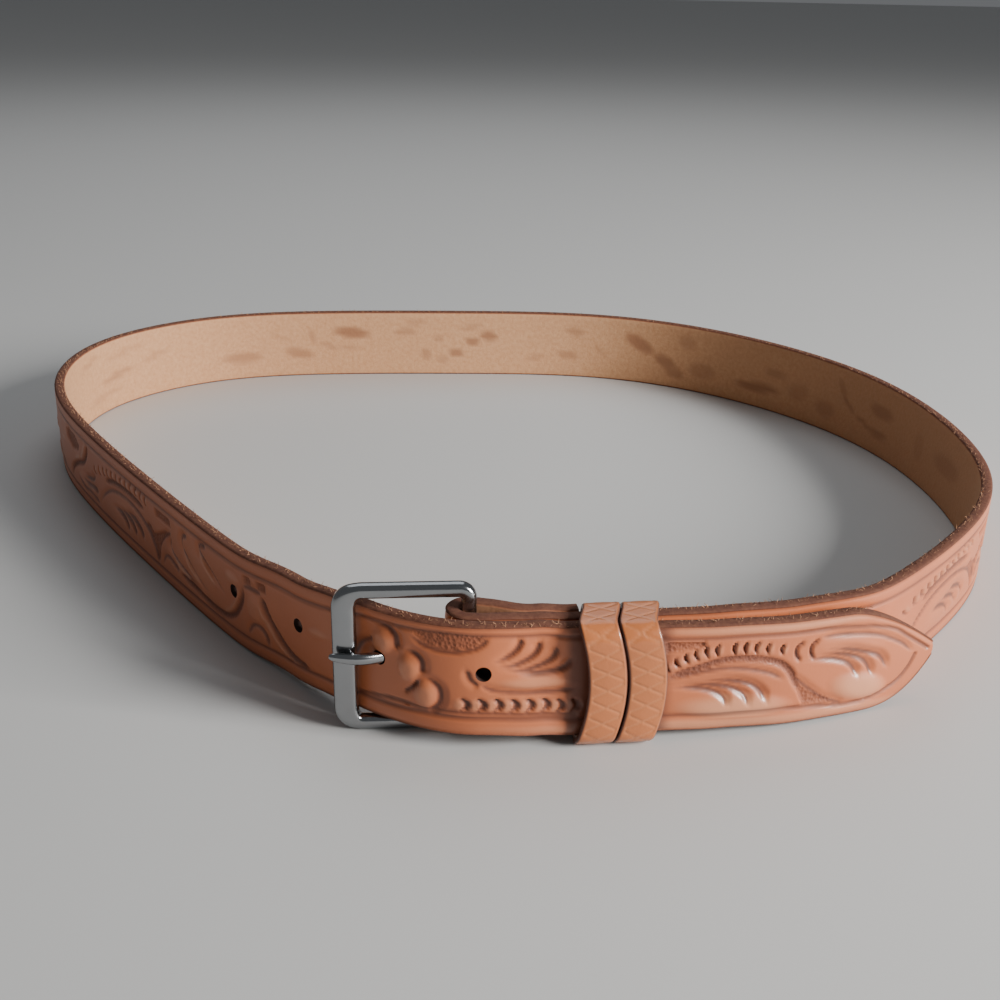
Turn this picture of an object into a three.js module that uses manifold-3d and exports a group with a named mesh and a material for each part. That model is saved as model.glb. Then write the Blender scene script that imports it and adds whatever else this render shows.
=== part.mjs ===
// A western tooled belt, buckled into a loop and resting on its lower edge.
// Millimetres, +Z up. The buckle faces -Y, the back of the loop is at +Y, and the floor is Z = 0.
import * as THREE from 'three';
import { mergeVertices } from 'three/addons/utils/BufferGeometryUtils.js';
import Module from 'manifold-3d';

const wasm = await Module();
wasm.setup();

// Driving sizes of the strap
const HALF_LENGTH = 162.5;      // half of the loop, side to side
const HALF_DEPTH = 148.0;       // half of the loop, front to back
const STRAP_WIDTH = 28.6;       // a strap of one and one eighth inches
const STRAP_THICK = 3.6;
const EDGE_BEVEL = 0.75;
const TIP_LENGTH = 25;          // the pointed end: length of its lower curve
const TIP_TOP = 29;             // and of its flatter upper curve
const TIP_BLUNT = 1.6;          // how far each curve starts before the end, which leaves it blunt
const TIP_NOSE = 1;
const HOLE_RADIUS = 1.9;
const HOLE_HEIGHT = 16.4;       // holes above the strap's lower edge

// Driving sizes of the buckle
const FRAME_LENGTH = 34.2;      // outside, along the belt
const FRAME_HEIGHT = 39.5;      // outside, upright
const FRAME_WIRE = 3.7;
const FRAME_BAR = 5.8;          // width of the bar that the prong rests on
const FRAME_CORNER = 6.2;       // outside corner radius beside the broad bar
const HINGE_CORNER = 4.2;       // outside corner radius beside the hinge bar
const FRAME_LEFT = -33.99;      // outer face of that bar, along X
const FRAME_PLANE = -0.92669 * HALF_DEPTH;      // middle of the hinge bar, along Y
const FRAME_TILT = 0.784 * FRAME_WIRE;  // how much nearer to the front the other bar stands
const RING_THICK = 1.5;         // the prong's ring round the hinge bar
const RING_HALF = 2.1;
const SLOT_LENGTH = 15;         // slot for the prong, through the fold
const PRONG_HALF_THICK = 1.2;
const PRONG_HALF_HEIGHT = 1.55;

// Driving sizes of the keepers and the fastener
const KEEPER_WIDTH = 9.2;
const KEEPER_THICK = 1.8;
const KEEPER_CORNER = 3.4;      // bend radius at the middle of its leather
const KEEPER_TURN = 7;          // degrees about the upright axis
const KEEPER_BOW = 2.6;         // how far the middle of the front face has slid along the belt
const KEEPER_LOOSE = 1.6;       // slack in front of the tip's strand
const KEEPER_SPACE = 1.55;      // from the folded end to the first keeper
const CHAPE_LENGTH = 25.9;
const CHAPE_CLOSE = 15;         // where the folded end has come down onto the layer in front
const RIVET_RADIUS = 1.5;
const RIVET_HEAD = 3.0;
const RIVET_HEAD_THICK = 0.9;
const RIVET_SLACK = 0.35;        // lets the flat heads lie on leather that slopes

// Clearances between pieces
const GAP = 0.3;
const PAIR_GAP = 0.35;          // between the two keepers, and between the two layers at the chape's end

// The strap's middle line seen from above, as control points of an even cubic curve.
// Columns: across as a share of HALF_LENGTH, back as a share of HALF_DEPTH.
// The rows run from the tip to the left through the buckle, round the loop and back to the fold.
const LOOP = [
  [0.7176, -0.7834], [0.6061, -0.8503], [0.4883, -0.8976], [0.3650, -0.9324], [0.2406, -0.9485],
  [0.1138, -0.9633], [-0.0062, -1.0011], [-0.1368, -0.9463], [-0.2249, -0.8650], [-0.3221, -0.7494],
  [-0.3875, -0.6927], [-0.6204, -0.3645], [-0.8077, -0.0881], [-0.9922, 0.2343], [-1.0012, 0.6189],
  [-0.7474, 0.8992], [-0.4083, 0.9628], [-0.0869, 0.9849], [0.2629, 1.0049], [0.5659, 0.8799],
  [0.8270, 0.6095], [0.9681, 0.3009], [1.0048, -0.1024], [0.9251, -0.4203], [0.6577, -0.7513],
  [0.5891, -0.8007], [0.4265, -0.8650], [0.3022, -0.8962], [0.1531, -0.9209], [0.0172, -0.9532],
];

// How far the strap's lower edge is held off the floor near the buckle and the keepers,
// and how far the tip's strand leans back over its width there.
// Columns: position along X as a share of HALF_LENGTH, lift as a share of FRAME_WIRE,
// lean as a share of STRAP_THICK.
const LIFT = [
  [-0.40, 0, 0], [-0.28, 0.35, 0.1], [-0.20, 0.85, 0.2], [-0.165, 1.14, 0.25], [0.015, 1.14, 0.5], [0.09, 0.95, 0.8],
  [0.14, 0.72, 0.65], [0.27, 0.60, 0.3], [0.37, 0.49, 0.25], [0.49, 0.24, 0.33], [0.69, 0, 0.28],
];

// Distance of each punched hole from the tip, as a share of STRAP_WIDTH.
const HOLES = [4.175, 6.08, 7.09];

function smooth(u) {
  const v = Math.min(1, Math.max(0, u));
  return v * v * (3 - 2 * v);
}

function rowAt(x, column) {
  const share = x / HALF_LENGTH;
  const last = LIFT[LIFT.length - 1];
  if (share <= LIFT[0][0]) return LIFT[0][column];
  if (share >= last[0]) return last[column];
  const i = LIFT.findIndex((row) => row[0] > share) - 1;
  const u = (share - LIFT[i][0]) / (LIFT[i + 1][0] - LIFT[i][0]);
  return LIFT[i][column] + (LIFT[i + 1][column] - LIFT[i][column]) * smooth(u);
}

// Only the front of the loop is lifted
const liftAt = (x, y) => (y < 0 ? FRAME_WIRE * rowAt(x, 1) : 0);
const leanAt = (s, x) => STRAP_THICK * rowAt(x, 2) * (1 - smooth((s - 5.944 * STRAP_WIDTH) / (2.1 * STRAP_WIDTH)));

// Cubic curve through the control rows, with its ends mirrored so that it starts and ends on them
function curvePoint(rows, t) {
  const n = rows.length;
  const row = (i) => {
    if (i < 0) return rows[0].map((v, k) => 2 * v - rows[1][k]);
    if (i >= n) return rows[n - 1].map((v, k) => 2 * v - rows[n - 2][k]);
    return rows[i];
  };
  const i = Math.min(n - 2, Math.max(0, Math.floor(t)));
  const f = t - i;
  const weights = [(1 - f) ** 3 / 6, (3 * f ** 3 - 6 * f ** 2 + 4) / 6,
    (-3 * f ** 3 + 3 * f ** 2 + 3 * f + 1) / 6, f ** 3 / 6];
  return [0, 1].map((k) => weights.reduce((sum, w, j) => sum + w * row(i - 1 + j)[k], 0));
}

// The whole middle line as closely spaced points: loop, fold round the hinge bar, and chape
const hinge = { x: FRAME_LEFT + FRAME_LENGTH - FRAME_WIRE / 2, y: FRAME_PLANE };
const foldRadius = FRAME_WIRE / 2 + GAP + STRAP_THICK / 2;
const layerGap = STRAP_THICK + PAIR_GAP;

const line = [];
const rowsMm = LOOP.map(([across, back]) => [across * HALF_LENGTH, back * HALF_DEPTH]);
for (let k = 0; k <= (rowsMm.length - 1) * 40; k += 1) line.push(curvePoint(rowsMm, k / 40));
const loopEnd = line.length - 1;

// The body runs on to the front of the hinge bar along a smooth join
const joinStart = line[loopEnd];
const before = line[loopEnd - 1];
const slope = (joinStart[1] - before[1]) / (joinStart[0] - before[0]);
const joinX = hinge.x;
const joinY = hinge.y - foldRadius;
for (let k = 1; k <= 12; k += 1) {
  const u = k / 12;
  const run = joinX - joinStart[0];
  const h00 = 2 * u ** 3 - 3 * u ** 2 + 1;
  const h10 = u ** 3 - 2 * u ** 2 + u;
  const h01 = -2 * u ** 3 + 3 * u ** 2;
  line.push([joinStart[0] + run * u, h00 * joinStart[1] + h10 * run * slope + h01 * joinY]);
}
const depthAt = (rows, x) => {
  let best = rows[0];
  rows.forEach((q) => { if (Math.abs(q[0] - x) < Math.abs(best[0] - x)) best = q; });
  return best[1];
};
const tipAt = (x) => depthAt(line.slice(0, 300), x);
const bodyAt = (x) => depthAt(line.slice(loopEnd - 400), x);
for (let k = 1; k <= 16; k += 1) {
  const turn = Math.PI * k / 16;
  line.push([hinge.x - foldRadius * Math.sin(turn), hinge.y - foldRadius * Math.cos(turn)]);
}
for (let k = 1; k <= 46; k += 1) {
  const x = hinge.x + CHAPE_LENGTH * k / 46;
  const apart = layerGap + (2 * foldRadius - layerGap) * (1 - smooth((x - hinge.x) / CHAPE_CLOSE));
  line.push([x, bodyAt(x) + apart]);
}

const arc = [0];
for (let i = 1; i < line.length; i += 1) {
  arc.push(arc[i - 1] + Math.hypot(line[i][0] - line[i - 1][0], line[i][1] - line[i - 1][1]));
}
const strapLength = arc[arc.length - 1];

function along(s) {
  let lo = 0;
  let hi = arc.length - 1;
  while (hi - lo > 1) {
    const mid = (lo + hi) >> 1;
    if (arc[mid] > s) hi = mid; else lo = mid;
  }
  const u = (s - arc[lo]) / (arc[hi] - arc[lo]);
  return [line[lo][0] + u * (line[hi][0] - line[lo][0]), line[lo][1] + u * (line[hi][1] - line[lo][1])];
}

function frameAt(s) {
  const [x, y] = along(s);
  const a = along(Math.max(0, s - 0.4));
  const b = along(Math.min(strapLength, s + 0.4));
  const d = Math.hypot(b[0] - a[0], b[1] - a[1]);
  // The tangent runs from the tip onwards, and the outward side is on its left
  const t = [(b[0] - a[0]) / d, (b[1] - a[1]) / d];
  return { x, y, t, out: [-t[1], t[0]] };
}

// Closed body from rings of equal count, each end closed with a fan
function loft(rings, closed) {
  const n = rings[0].length;
  const at = [];
  rings.forEach((ring) => ring.forEach((p) => at.push(...p)));
  const faces = [];
  const count = rings.length;
  const last = closed ? count : count - 1;
  for (let i = 0; i < last; i += 1) {
    const a = i * n;
    const b = ((i + 1) % count) * n;
    for (let k = 0; k < n; k += 1) {
      const m = (k + 1) % n;
      faces.push([a + k, b + k, b + m], [a + k, b + m, a + m]);
    }
  }
  if (!closed) {
    for (let k = 1; k < n - 1; k += 1) faces.push([0, k, k + 1]);
    const e = (count - 1) * n;
    for (let k = 1; k < n - 1; k += 1) faces.push([e, e + k + 1, e + k]);
  }
  const geometry = new THREE.BufferGeometry();
  geometry.setAttribute('position', new THREE.Float32BufferAttribute(at, 3));
  geometry.setIndex(faces.flat());
  return outward(geometry);
}

function volumeOf(geometry) {
  const p = geometry.attributes.position;
  const index = geometry.index;
  let sum = 0;
  for (let i = 0; i < index.count; i += 3) {
    const [a, b, c] = [0, 1, 2].map((k) => new THREE.Vector3().fromBufferAttribute(p, index.getX(i + k)));
    sum += a.dot(b.cross(c)) / 6;
  }
  return sum;
}

function outward(geometry) {
  if (volumeOf(geometry) > 0) return geometry;
  const index = Array.from(geometry.index.array);
  for (let i = 0; i < index.length; i += 3) [index[i + 1], index[i + 2]] = [index[i + 2], index[i + 1]];
  geometry.setIndex(index);
  return geometry;
}

function toSolid(geometry) {
  const g = geometry.clone();
  g.deleteAttribute('normal');
  g.deleteAttribute('uv');
  const merged = mergeVertices(g, 1e-4);
  const index = merged.index;
  return new wasm.Manifold(new wasm.Mesh({
    numProp: 3,
    vertProperties: new Float32Array(merged.attributes.position.array),
    triVerts: new Uint32Array(index.array),
  }));
}

function fromSolid(solid) {
  const mesh = solid.getMesh();
  const geometry = new THREE.BufferGeometry();
  const at = [];
  for (let i = 0; i < mesh.numVert; i += 1) {
    for (let k = 0; k < 3; k += 1) at.push(mesh.vertProperties[i * mesh.numProp + k]);
  }
  geometry.setAttribute('position', new THREE.Float32BufferAttribute(at, 3));
  geometry.setIndex(Array.from(mesh.triVerts));
  return geometry;
}

// How far the strap reaches below and above its middle at a distance from the tip
function reachAt(s) {
  const low = Math.min(1, (s + TIP_BLUNT) / TIP_LENGTH);
  const high = Math.min(1, (s + TIP_NOSE) / TIP_TOP);
  return [STRAP_WIDTH / 2 * (1 - (1 - low) ** 2.6), STRAP_WIDTH / 2 * (1 - (1 - high) ** 1.6)];
}

function strapRing(s) {
  const { x, y, out } = frameAt(s);
  const [low, high] = reachAt(s);
  const w = STRAP_THICK / 2;
  const bevel = Math.min(EDGE_BEVEL, (low + high) / 4);
  const middle = STRAP_WIDTH / 2 + liftAt(x, y);
  const corners = [[w, -low + bevel], [w, high - bevel], [w - bevel, high], [-w + bevel, high],
    [-w, high - bevel], [-w, -low + bevel], [-w + bevel, -low], [w - bevel, -low]];
  const lean = leanAt(s, x) / STRAP_WIDTH;
  return corners.map(([o, z]) => [x + (o - z * lean) * out[0], y + (o - z * lean) * out[1], middle + z]);
}

// Places of the rings: close at the tip, the buckle and the fold, and wide round the back
const foldStart = arc[loopEnd + 12];
const places = [];
for (let s = 0; s < strapLength;) {
  places.push(s);
  const near = 0.035 * STRAP_WIDTH;
  const fold = s > foldStart - near && s < foldStart + Math.PI * foldRadius + near;
  const bend = s > 3.67 * STRAP_WIDTH && s < 6.82 * STRAP_WIDTH;
  const front = s < TIP_TOP || s > foldStart - 3.15 * STRAP_WIDTH;
  s += STRAP_WIDTH * (fold ? 0.0455 : bend ? 0.112 : front ? 0.126 : 0.252);
}
places.push(strapLength);

let strap = toSolid(loft(places.map(strapRing), false));

function postAt(s, height, radius, length, sides) {
  const { x, y, out } = frameAt(s);
  const g = new THREE.CylinderGeometry(radius, radius, length, sides);
  const turn = new THREE.Matrix4().makeBasis(
    new THREE.Vector3(-out[1], out[0], 0), new THREE.Vector3(out[0], out[1], 0), new THREE.Vector3(0, 0, 1));
  const m = turn.setPosition(x, y, height + liftAt(x, y));
  g.applyMatrix4(m);
  return outward(mergeIndexed(g));
}

function mergeIndexed(geometry) {
  geometry.deleteAttribute('normal');
  geometry.deleteAttribute('uv');
  return mergeVertices(geometry, 1e-4);
}

HOLES.forEach((share) => {
  strap = strap.subtract(toSolid(postAt(share * STRAP_WIDTH, HOLE_HEIGHT, HOLE_RADIUS, 3 * STRAP_THICK, 16)));
});

// Buckle frame: one closed loop of rounded section, broader along the bar under the prong
const frameMiddle = FRAME_HEIGHT / 2;
const planeAt = (x) => FRAME_PLANE - FRAME_TILT * (hinge.x - x) / FRAME_LENGTH;
function frameRings(grow, parts) {
  const rings = [];
  const left = FRAME_LEFT + FRAME_BAR / 2;
  const right = hinge.x;
  const low = FRAME_WIRE / 2;
  const high = FRAME_HEIGHT - FRAME_WIRE / 2;
  const l = FRAME_CORNER - FRAME_WIRE / 2;
  const h = HINGE_CORNER - FRAME_WIRE / 2;
  const corners = [[right - h, high - h, 0, h], [left + l, high - l, 90, l],
    [left + l, low + l, 180, l], [right - h, low + h, 270, h]];
  const stations = [];
  corners.forEach(([cx, cz, start, r], i) => {
    for (let k = 0; k <= parts; k += 1) {
      const a = THREE.MathUtils.degToRad(start + 90 * k / parts);
      stations.push([cx + r * Math.cos(a), cz + r * Math.sin(a), Math.cos(a), Math.sin(a)]);
    }
    const next = corners[(i + 1) % 4];
    const a = THREE.MathUtils.degToRad(start + 90);
    const from = [cx + r * Math.cos(a), cz + r * Math.sin(a)];
    const to = [next[0] + next[3] * Math.cos(a), next[1] + next[3] * Math.sin(a)];
    [0.25, 0.5, 0.75].forEach((u) => {
      stations.push([from[0] + u * (to[0] - from[0]), from[1] + u * (to[1] - from[1]), Math.cos(a), Math.sin(a)]);
    });
  });
  stations.forEach(([x, z, nx, nz]) => {
    const toBar = smooth((-nx - 0.15) / 0.85);
    const half = FRAME_WIRE / 2 + (FRAME_BAR - FRAME_WIRE) / 2 * toBar + grow;
    const deep = FRAME_WIRE / 2 + grow;
    const ring = [];
    for (let k = 0; k < 12; k += 1) {
      const a = Math.PI * 2 * k / 12;
      const c = Math.cos(a);
      const s = Math.sin(a);
      const flat = 0.82;
      const o = half * Math.sign(c) * Math.abs(c) ** flat;
      const y = deep * Math.sign(s) * Math.abs(s) ** flat;
      ring.push([x + o * nx, planeAt(x) + y, z + o * nz]);
    }
    rings.push(ring);
  });
  return rings;
}
const frame = loft(frameRings(0, 5), true);

// Prong: a ring on the hinge bar and a bent finger through the strap's hole, its end on the broad bar
// Columns: distance from the hinge bar as a share of FRAME_LENGTH, depth from the frame's plane as a
// share of FRAME_WIRE (minus is outwards), rise as a share of FRAME_WIRE, size as a share of the full prong
const PRONG = [
  [-0.075, 0.00, 0.00, 0.85], [-0.20, 0.04, 0.00, 1.00], [-0.34, 0.14, 0.02, 1.00], [-0.44, 0.17, 0.05, 1.00],
  [-0.52, 0.03, 0.09, 1.00], [-0.59, -0.24, 0.14, 1.00], [-0.66, -0.55, 0.22, 1.00], [-0.73, -0.82, 0.31, 0.98],
  [-0.80, -0.93, 0.40, 0.90], [-0.88, -0.92, 0.49, 0.78], [-0.935, -0.88, 0.55, 0.64], [-0.955, -0.85, 0.57, 0.36],
];
function prongRings(grow, first, last) {
  return PRONG.slice(first, last).map(([run, deep, rise, size], i, rows) => {
    const a = rows[Math.max(0, i - 1)];
    const b = rows[Math.min(rows.length - 1, i + 1)];
    const dx = (b[0] - a[0]) * FRAME_LENGTH;
    const dy = (b[1] - a[1]) * FRAME_WIRE;
    const d = Math.hypot(dx, dy);
    const side = [-dy / d, dx / d];
    const x = hinge.x + run * FRAME_LENGTH;
    const y = planeAt(x) + deep * FRAME_WIRE;
    const z = frameMiddle + rise * FRAME_WIRE;
    const ring = [];
    for (let k = 0; k < 12; k += 1) {
      const t = Math.PI * 2 * k / 12;
      const o = (PRONG_HALF_THICK * size + grow) * Math.cos(t);
      const up = (PRONG_HALF_HEIGHT * size + grow) * Math.sin(t);
      ring.push([x + o * side[0], y + o * side[1], z + up]);
    }
    return ring;
  });
}
const ringOuter = FRAME_WIRE / 2 + GAP + RING_THICK;
const ringInner = FRAME_WIRE / 2 + GAP;
function upright(radius, half, sides) {
  const g = new THREE.CylinderGeometry(radius, radius, 2 * half, sides);
  g.rotateX(Math.PI / 2);
  g.translate(hinge.x, hinge.y, frameMiddle);
  return toSolid(outward(mergeIndexed(g)));
}
const prong = toSolid(loft(prongRings(0, 0, PRONG.length), false))
  .add(upright(ringOuter, RING_HALF, 24))
  .subtract(upright(ringInner, RING_HALF * 3, 24));

// Room for the prong: the stretched hole in the tip strap and the slot through the fold
strap = strap.subtract(toSolid(loft(prongRings(GAP + 0.05, 2, 9), false)));
const slotFront = foldRadius + STRAP_THICK / 2 + GAP;
const slot = new THREE.BoxGeometry(SLOT_LENGTH, 2 * slotFront, 2 * RING_HALF + 4 * GAP);
slot.translate(hinge.x - foldRadius + 0.3 * SLOT_LENGTH, hinge.y, frameMiddle);
strap = strap.subtract(toSolid(slot));

// Fastener of the chape: one plain rivet through the two layers, hidden behind the tip strap
const rivetX = hinge.x + 0.72 * CHAPE_LENGTH;
const bodyS = (() => {
  let best = foldStart;
  for (let s = foldStart - 2.1 * STRAP_WIDTH; s < foldStart; s += 0.0035 * STRAP_WIDTH) {
    if (Math.abs(along(s)[0] - rivetX) < Math.abs(along(best)[0] - rivetX)) best = s;
  }
  return best;
})();
const bodySpot = frameAt(bodyS);
const chapeApart = layerGap + (2 * foldRadius - layerGap) * (1 - smooth((rivetX - hinge.x) / CHAPE_CLOSE));
const rivetZ = STRAP_WIDTH / 2 + liftAt(rivetX, bodySpot.y);
function rivetPart(radius, from, to, sides) {
  const g = new THREE.CylinderGeometry(radius, radius, to - from, sides);
  g.translate(bodySpot.x, bodySpot.y + (from + to) / 2, rivetZ);
  return toSolid(outward(mergeIndexed(g)));
}
// The front head is let into the leather, so that the tip slides over it
const headFrom = -STRAP_THICK / 2 + RIVET_HEAD_THICK + 0.1;
const backFrom = chapeApart + STRAP_THICK / 2 + GAP + RIVET_SLACK;
const rivet = rivetPart(RIVET_RADIUS, headFrom - RIVET_HEAD_THICK / 2, backFrom + RIVET_HEAD_THICK / 2, 20)
  .add(rivetPart(RIVET_HEAD, headFrom - RIVET_HEAD_THICK, headFrom, 24))
  .add(rivetPart(RIVET_HEAD, backFrom, backFrom + RIVET_HEAD_THICK, 24));
strap = strap.subtract(rivetPart(RIVET_RADIUS + GAP, headFrom - 0.5, backFrom + 3, 16))
  .subtract(rivetPart(RIVET_HEAD + GAP, headFrom - RIVET_HEAD_THICK - 0.9, headFrom + GAP, 24));

// Keepers: a band of leather bent into a closed loop round all the layers
function keeper(middleX) {
  const front = tipAt(middleX) - STRAP_THICK / 2 - GAP - KEEPER_THICK / 2 - KEEPER_LOOSE;
  const back = bodyAt(middleX) + STRAP_THICK / 2 + GAP + KEEPER_THICK / 2 + 0.4;
  const low = KEEPER_THICK / 2;
  const high = liftAt(middleX, front) + STRAP_WIDTH + GAP + 0.1 + KEEPER_THICK / 2;
  const r = KEEPER_CORNER;
  const stations = [];
  const corners = [[back - r, high - r, 0], [front + r, high - r, 90], [front + r, low + r, 180], [back - r, low + r, 270]];
  corners.forEach(([cy, cz, start], i) => {
    for (let k = 0; k <= 4; k += 1) {
      const a = THREE.MathUtils.degToRad(start + 90 * k / 4);
      stations.push([cy + r * Math.cos(a), cz + r * Math.sin(a), Math.cos(a), Math.sin(a)]);
    }
    const next = corners[(i + 1) % 4];
    const a = THREE.MathUtils.degToRad(start + 90);
    const steps = i % 2 ? 8 : 3;
    for (let k = 1; k < steps; k += 1) {
      const u = k / steps;
      const y = (cy + r * Math.cos(a)) * (1 - u) + (next[0] + r * Math.cos(a)) * u;
      const z = (cz + r * Math.sin(a)) * (1 - u) + (next[1] + r * Math.sin(a)) * u;
      stations.push([y, z, Math.cos(a), Math.sin(a)]);
    }
  });
  const middle = (front + back) / 2;
  const centre = (low + high) / 2;
  const turn = THREE.MathUtils.degToRad(KEEPER_TURN);
  const rings = stations.map(([y, z, ny, nz]) => {
    const near = smooth((middle - y) / (middle - front));
    const share = (z - centre) / (high - centre);
    const slide = -KEEPER_BOW * near * share * share;
    const swell = -0.28 * KEEPER_THICK * near * (1 - share * share);
    const ring = [];
    const bevel = KEEPER_THICK / 4;
    const w = KEEPER_WIDTH / 2;
    const t = KEEPER_THICK / 2;
    const corner = [[w - bevel, t], [w, t - bevel], [w, -t + bevel], [w - bevel, -t],
      [-w + bevel, -t], [-w, -t + bevel], [-w, t - bevel], [-w + bevel, t]];
    corner.forEach(([a, o]) => {
      const px = a + slide;
      const py = y + o * ny + swell - middle;
      ring.push([middleX + px * Math.cos(turn) - py * Math.sin(turn),
        middle + px * Math.sin(turn) + py * Math.cos(turn), z + o * nz]);
    });
    return ring;
  });
  return loft(rings, true);
}
const firstX = hinge.x + CHAPE_LENGTH + KEEPER_SPACE + KEEPER_WIDTH / 2;
const pitch = (KEEPER_WIDTH + PAIR_GAP) * Math.cos(THREE.MathUtils.degToRad(KEEPER_TURN));
const keeperLeft = keeper(firstX);
const keeperRight = keeper(firstX + pitch);

function add(name, geometry, color, roughness, metalness) {
  const flat = geometry.toNonIndexed();
  flat.computeVertexNormals();
  const mesh = new THREE.Mesh(flat, new THREE.MeshStandardMaterial({ color, roughness, metalness }));
  mesh.name = name;
  group.add(mesh);
}

const group = new THREE.Group();
add('strap', fromSolid(strap), 0x8a4a32, 0.55, 0);
add('buckle_frame', frame, 0xc9cccd, 0.18, 1);
add('buckle_prong', fromSolid(prong), 0xd2d4d5, 0.16, 1);
add('keeper_left', keeperLeft, 0xb8612e, 0.35, 0);
add('keeper_right', keeperRight, 0xb8612e, 0.35, 0);
add('chape_rivet', fromSolid(rivet), 0xc0c2c3, 0.3, 1);

export default group;
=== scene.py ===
"""Tooled leather belt, buckled into a loop: strap, buckle, keepers and stage."""
import math

import bpy
import numpy as np
from mathutils import Matrix, Vector


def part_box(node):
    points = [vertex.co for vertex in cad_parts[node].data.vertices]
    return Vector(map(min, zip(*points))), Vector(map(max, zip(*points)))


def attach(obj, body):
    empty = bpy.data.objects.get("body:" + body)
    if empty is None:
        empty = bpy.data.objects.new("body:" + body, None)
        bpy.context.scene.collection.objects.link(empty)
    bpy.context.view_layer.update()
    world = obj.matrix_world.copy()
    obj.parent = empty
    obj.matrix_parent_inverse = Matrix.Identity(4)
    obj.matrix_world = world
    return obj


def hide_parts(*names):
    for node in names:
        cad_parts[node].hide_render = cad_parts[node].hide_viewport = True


bl_info = {
    "name": "Tooled Leather Belt",
    "version": (1, 0, 0),
    "blender": (4, 5, 0),
    "location": "3D View > Sidebar > Belt",
    "description": "Builds a carved western belt, its buckle and its keepers",
    "category": "Add Mesh",
}

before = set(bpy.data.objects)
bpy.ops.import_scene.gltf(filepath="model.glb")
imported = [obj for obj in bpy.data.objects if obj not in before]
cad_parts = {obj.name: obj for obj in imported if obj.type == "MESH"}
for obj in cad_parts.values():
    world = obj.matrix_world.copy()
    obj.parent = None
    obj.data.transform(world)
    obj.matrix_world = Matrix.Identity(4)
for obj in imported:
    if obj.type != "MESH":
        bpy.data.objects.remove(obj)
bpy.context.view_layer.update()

MM = 0.001

# Sizes in millimetres, the same as the solids
HALF_LENGTH = 162.5
HALF_DEPTH = 148.0
WIDTH = 28.6
THICK = 3.6
TIP_LENGTH = 25.0
TIP_TOP = 29.0
TIP_BLUNT = 1.6
TIP_NOSE = 1.0
HOLE_HEIGHT = 16.4
HOLE_RADIUS = 1.9
FRAME_LENGTH = 34.2
FRAME_HEIGHT = 39.5
WIRE = 3.7
BAR = 5.8
FRAME_CORNER = 6.2
HINGE_CORNER = 4.2
FRAME_LEFT = -33.99
FRAME_PLANE = -137.15
FRAME_TILT = 2.9
PRONG_THICK = 1.2
PRONG_HIGH = 1.55
RING_THICK = 1.5
RING_HALF = 2.1
RING_BEVEL = (0.4, 0.5)
SLOT_LENGTH = 15.0
SLOT_HEIGHT = 5.4
SLOT_BACK = 4.5
RIVET_HOLE = 1.8
RIVET_POCKET = (3.3, 1.05)
KEEPER_CORNER = 3.4
KEEPER_TURN = 7.0
KEEPER_BOW = 2.6
KEEPER_LOOSE = 1.6
KEEPER_SLACK = 0.4
KEEPER_SPACE = 1.55
CHAPE_LENGTH = 25.9
CHAPE_CLOSE = 15.0
CLEAR = 0.3
PAIR_GAP = 0.35

# Camera: place in metres, angle down and roll in degrees
CAMERA_PLACE = (0.005113, -0.397747, 0.173777)
CAMERA_DOWN = 23.5
CAMERA_ROLL = 1.23

# Middle line seen from above: across as a share of HALF_LENGTH, back as a share of HALF_DEPTH
LOOP = [
    (0.7176, -0.7834), (0.6061, -0.8503), (0.4883, -0.8976), (0.3650, -0.9324), (0.2406, -0.9485),
    (0.1138, -0.9633), (-0.0062, -1.0011), (-0.1368, -0.9463), (-0.2249, -0.8650), (-0.3221, -0.7494),
    (-0.3875, -0.6927), (-0.6204, -0.3645), (-0.8077, -0.0881), (-0.9922, 0.2343), (-1.0012, 0.6189),
    (-0.7474, 0.8992), (-0.4083, 0.9628), (-0.0869, 0.9849), (0.2629, 1.0049), (0.5659, 0.8799),
    (0.8270, 0.6095), (0.9681, 0.3009), (1.0048, -0.1024), (0.9251, -0.4203), (0.6577, -0.7513),
    (0.5891, -0.8007), (0.4265, -0.8650), (0.3022, -0.8962), (0.1531, -0.9209), (0.0172, -0.9532),
]

# Position along X as a share of HALF_LENGTH, lift as a share of WIRE, lean as a share of THICK
LIFT = np.array([
    (-0.40, 0, 0), (-0.28, 0.35, 0.1), (-0.20, 0.85, 0.2), (-0.165, 1.14, 0.25), (0.015, 1.14, 0.5),
    (0.09, 0.95, 0.8), (0.14, 0.72, 0.65), (0.27, 0.60, 0.3), (0.37, 0.49, 0.25), (0.49, 0.24, 0.33),
    (0.69, 0, 0.28),
])

# Distance of each punched hole from the tip, as a share of WIDTH
HOLES = (4.175, 6.08, 7.09)

# Distance from the hinge bar as a share of FRAME_LENGTH, depth and rise as shares of WIRE, size
PRONG = np.array([
    (-0.075, 0.00, 0.00, 0.85), (-0.20, 0.04, 0.00, 1.00), (-0.34, 0.14, 0.02, 1.00),
    (-0.44, 0.17, 0.05, 1.00), (-0.52, 0.03, 0.09, 1.00), (-0.59, -0.24, 0.14, 1.00),
    (-0.66, -0.55, 0.22, 1.00), (-0.73, -0.82, 0.31, 0.98), (-0.80, -0.93, 0.40, 0.90),
    (-0.88, -0.92, 0.49, 0.78), (-0.935, -0.88, 0.55, 0.64), (-0.955, -0.85, 0.57, 0.36),
])

# The rows of PRONG that pass through the strap
PRONG_THROUGH = slice(2, 9)

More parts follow.
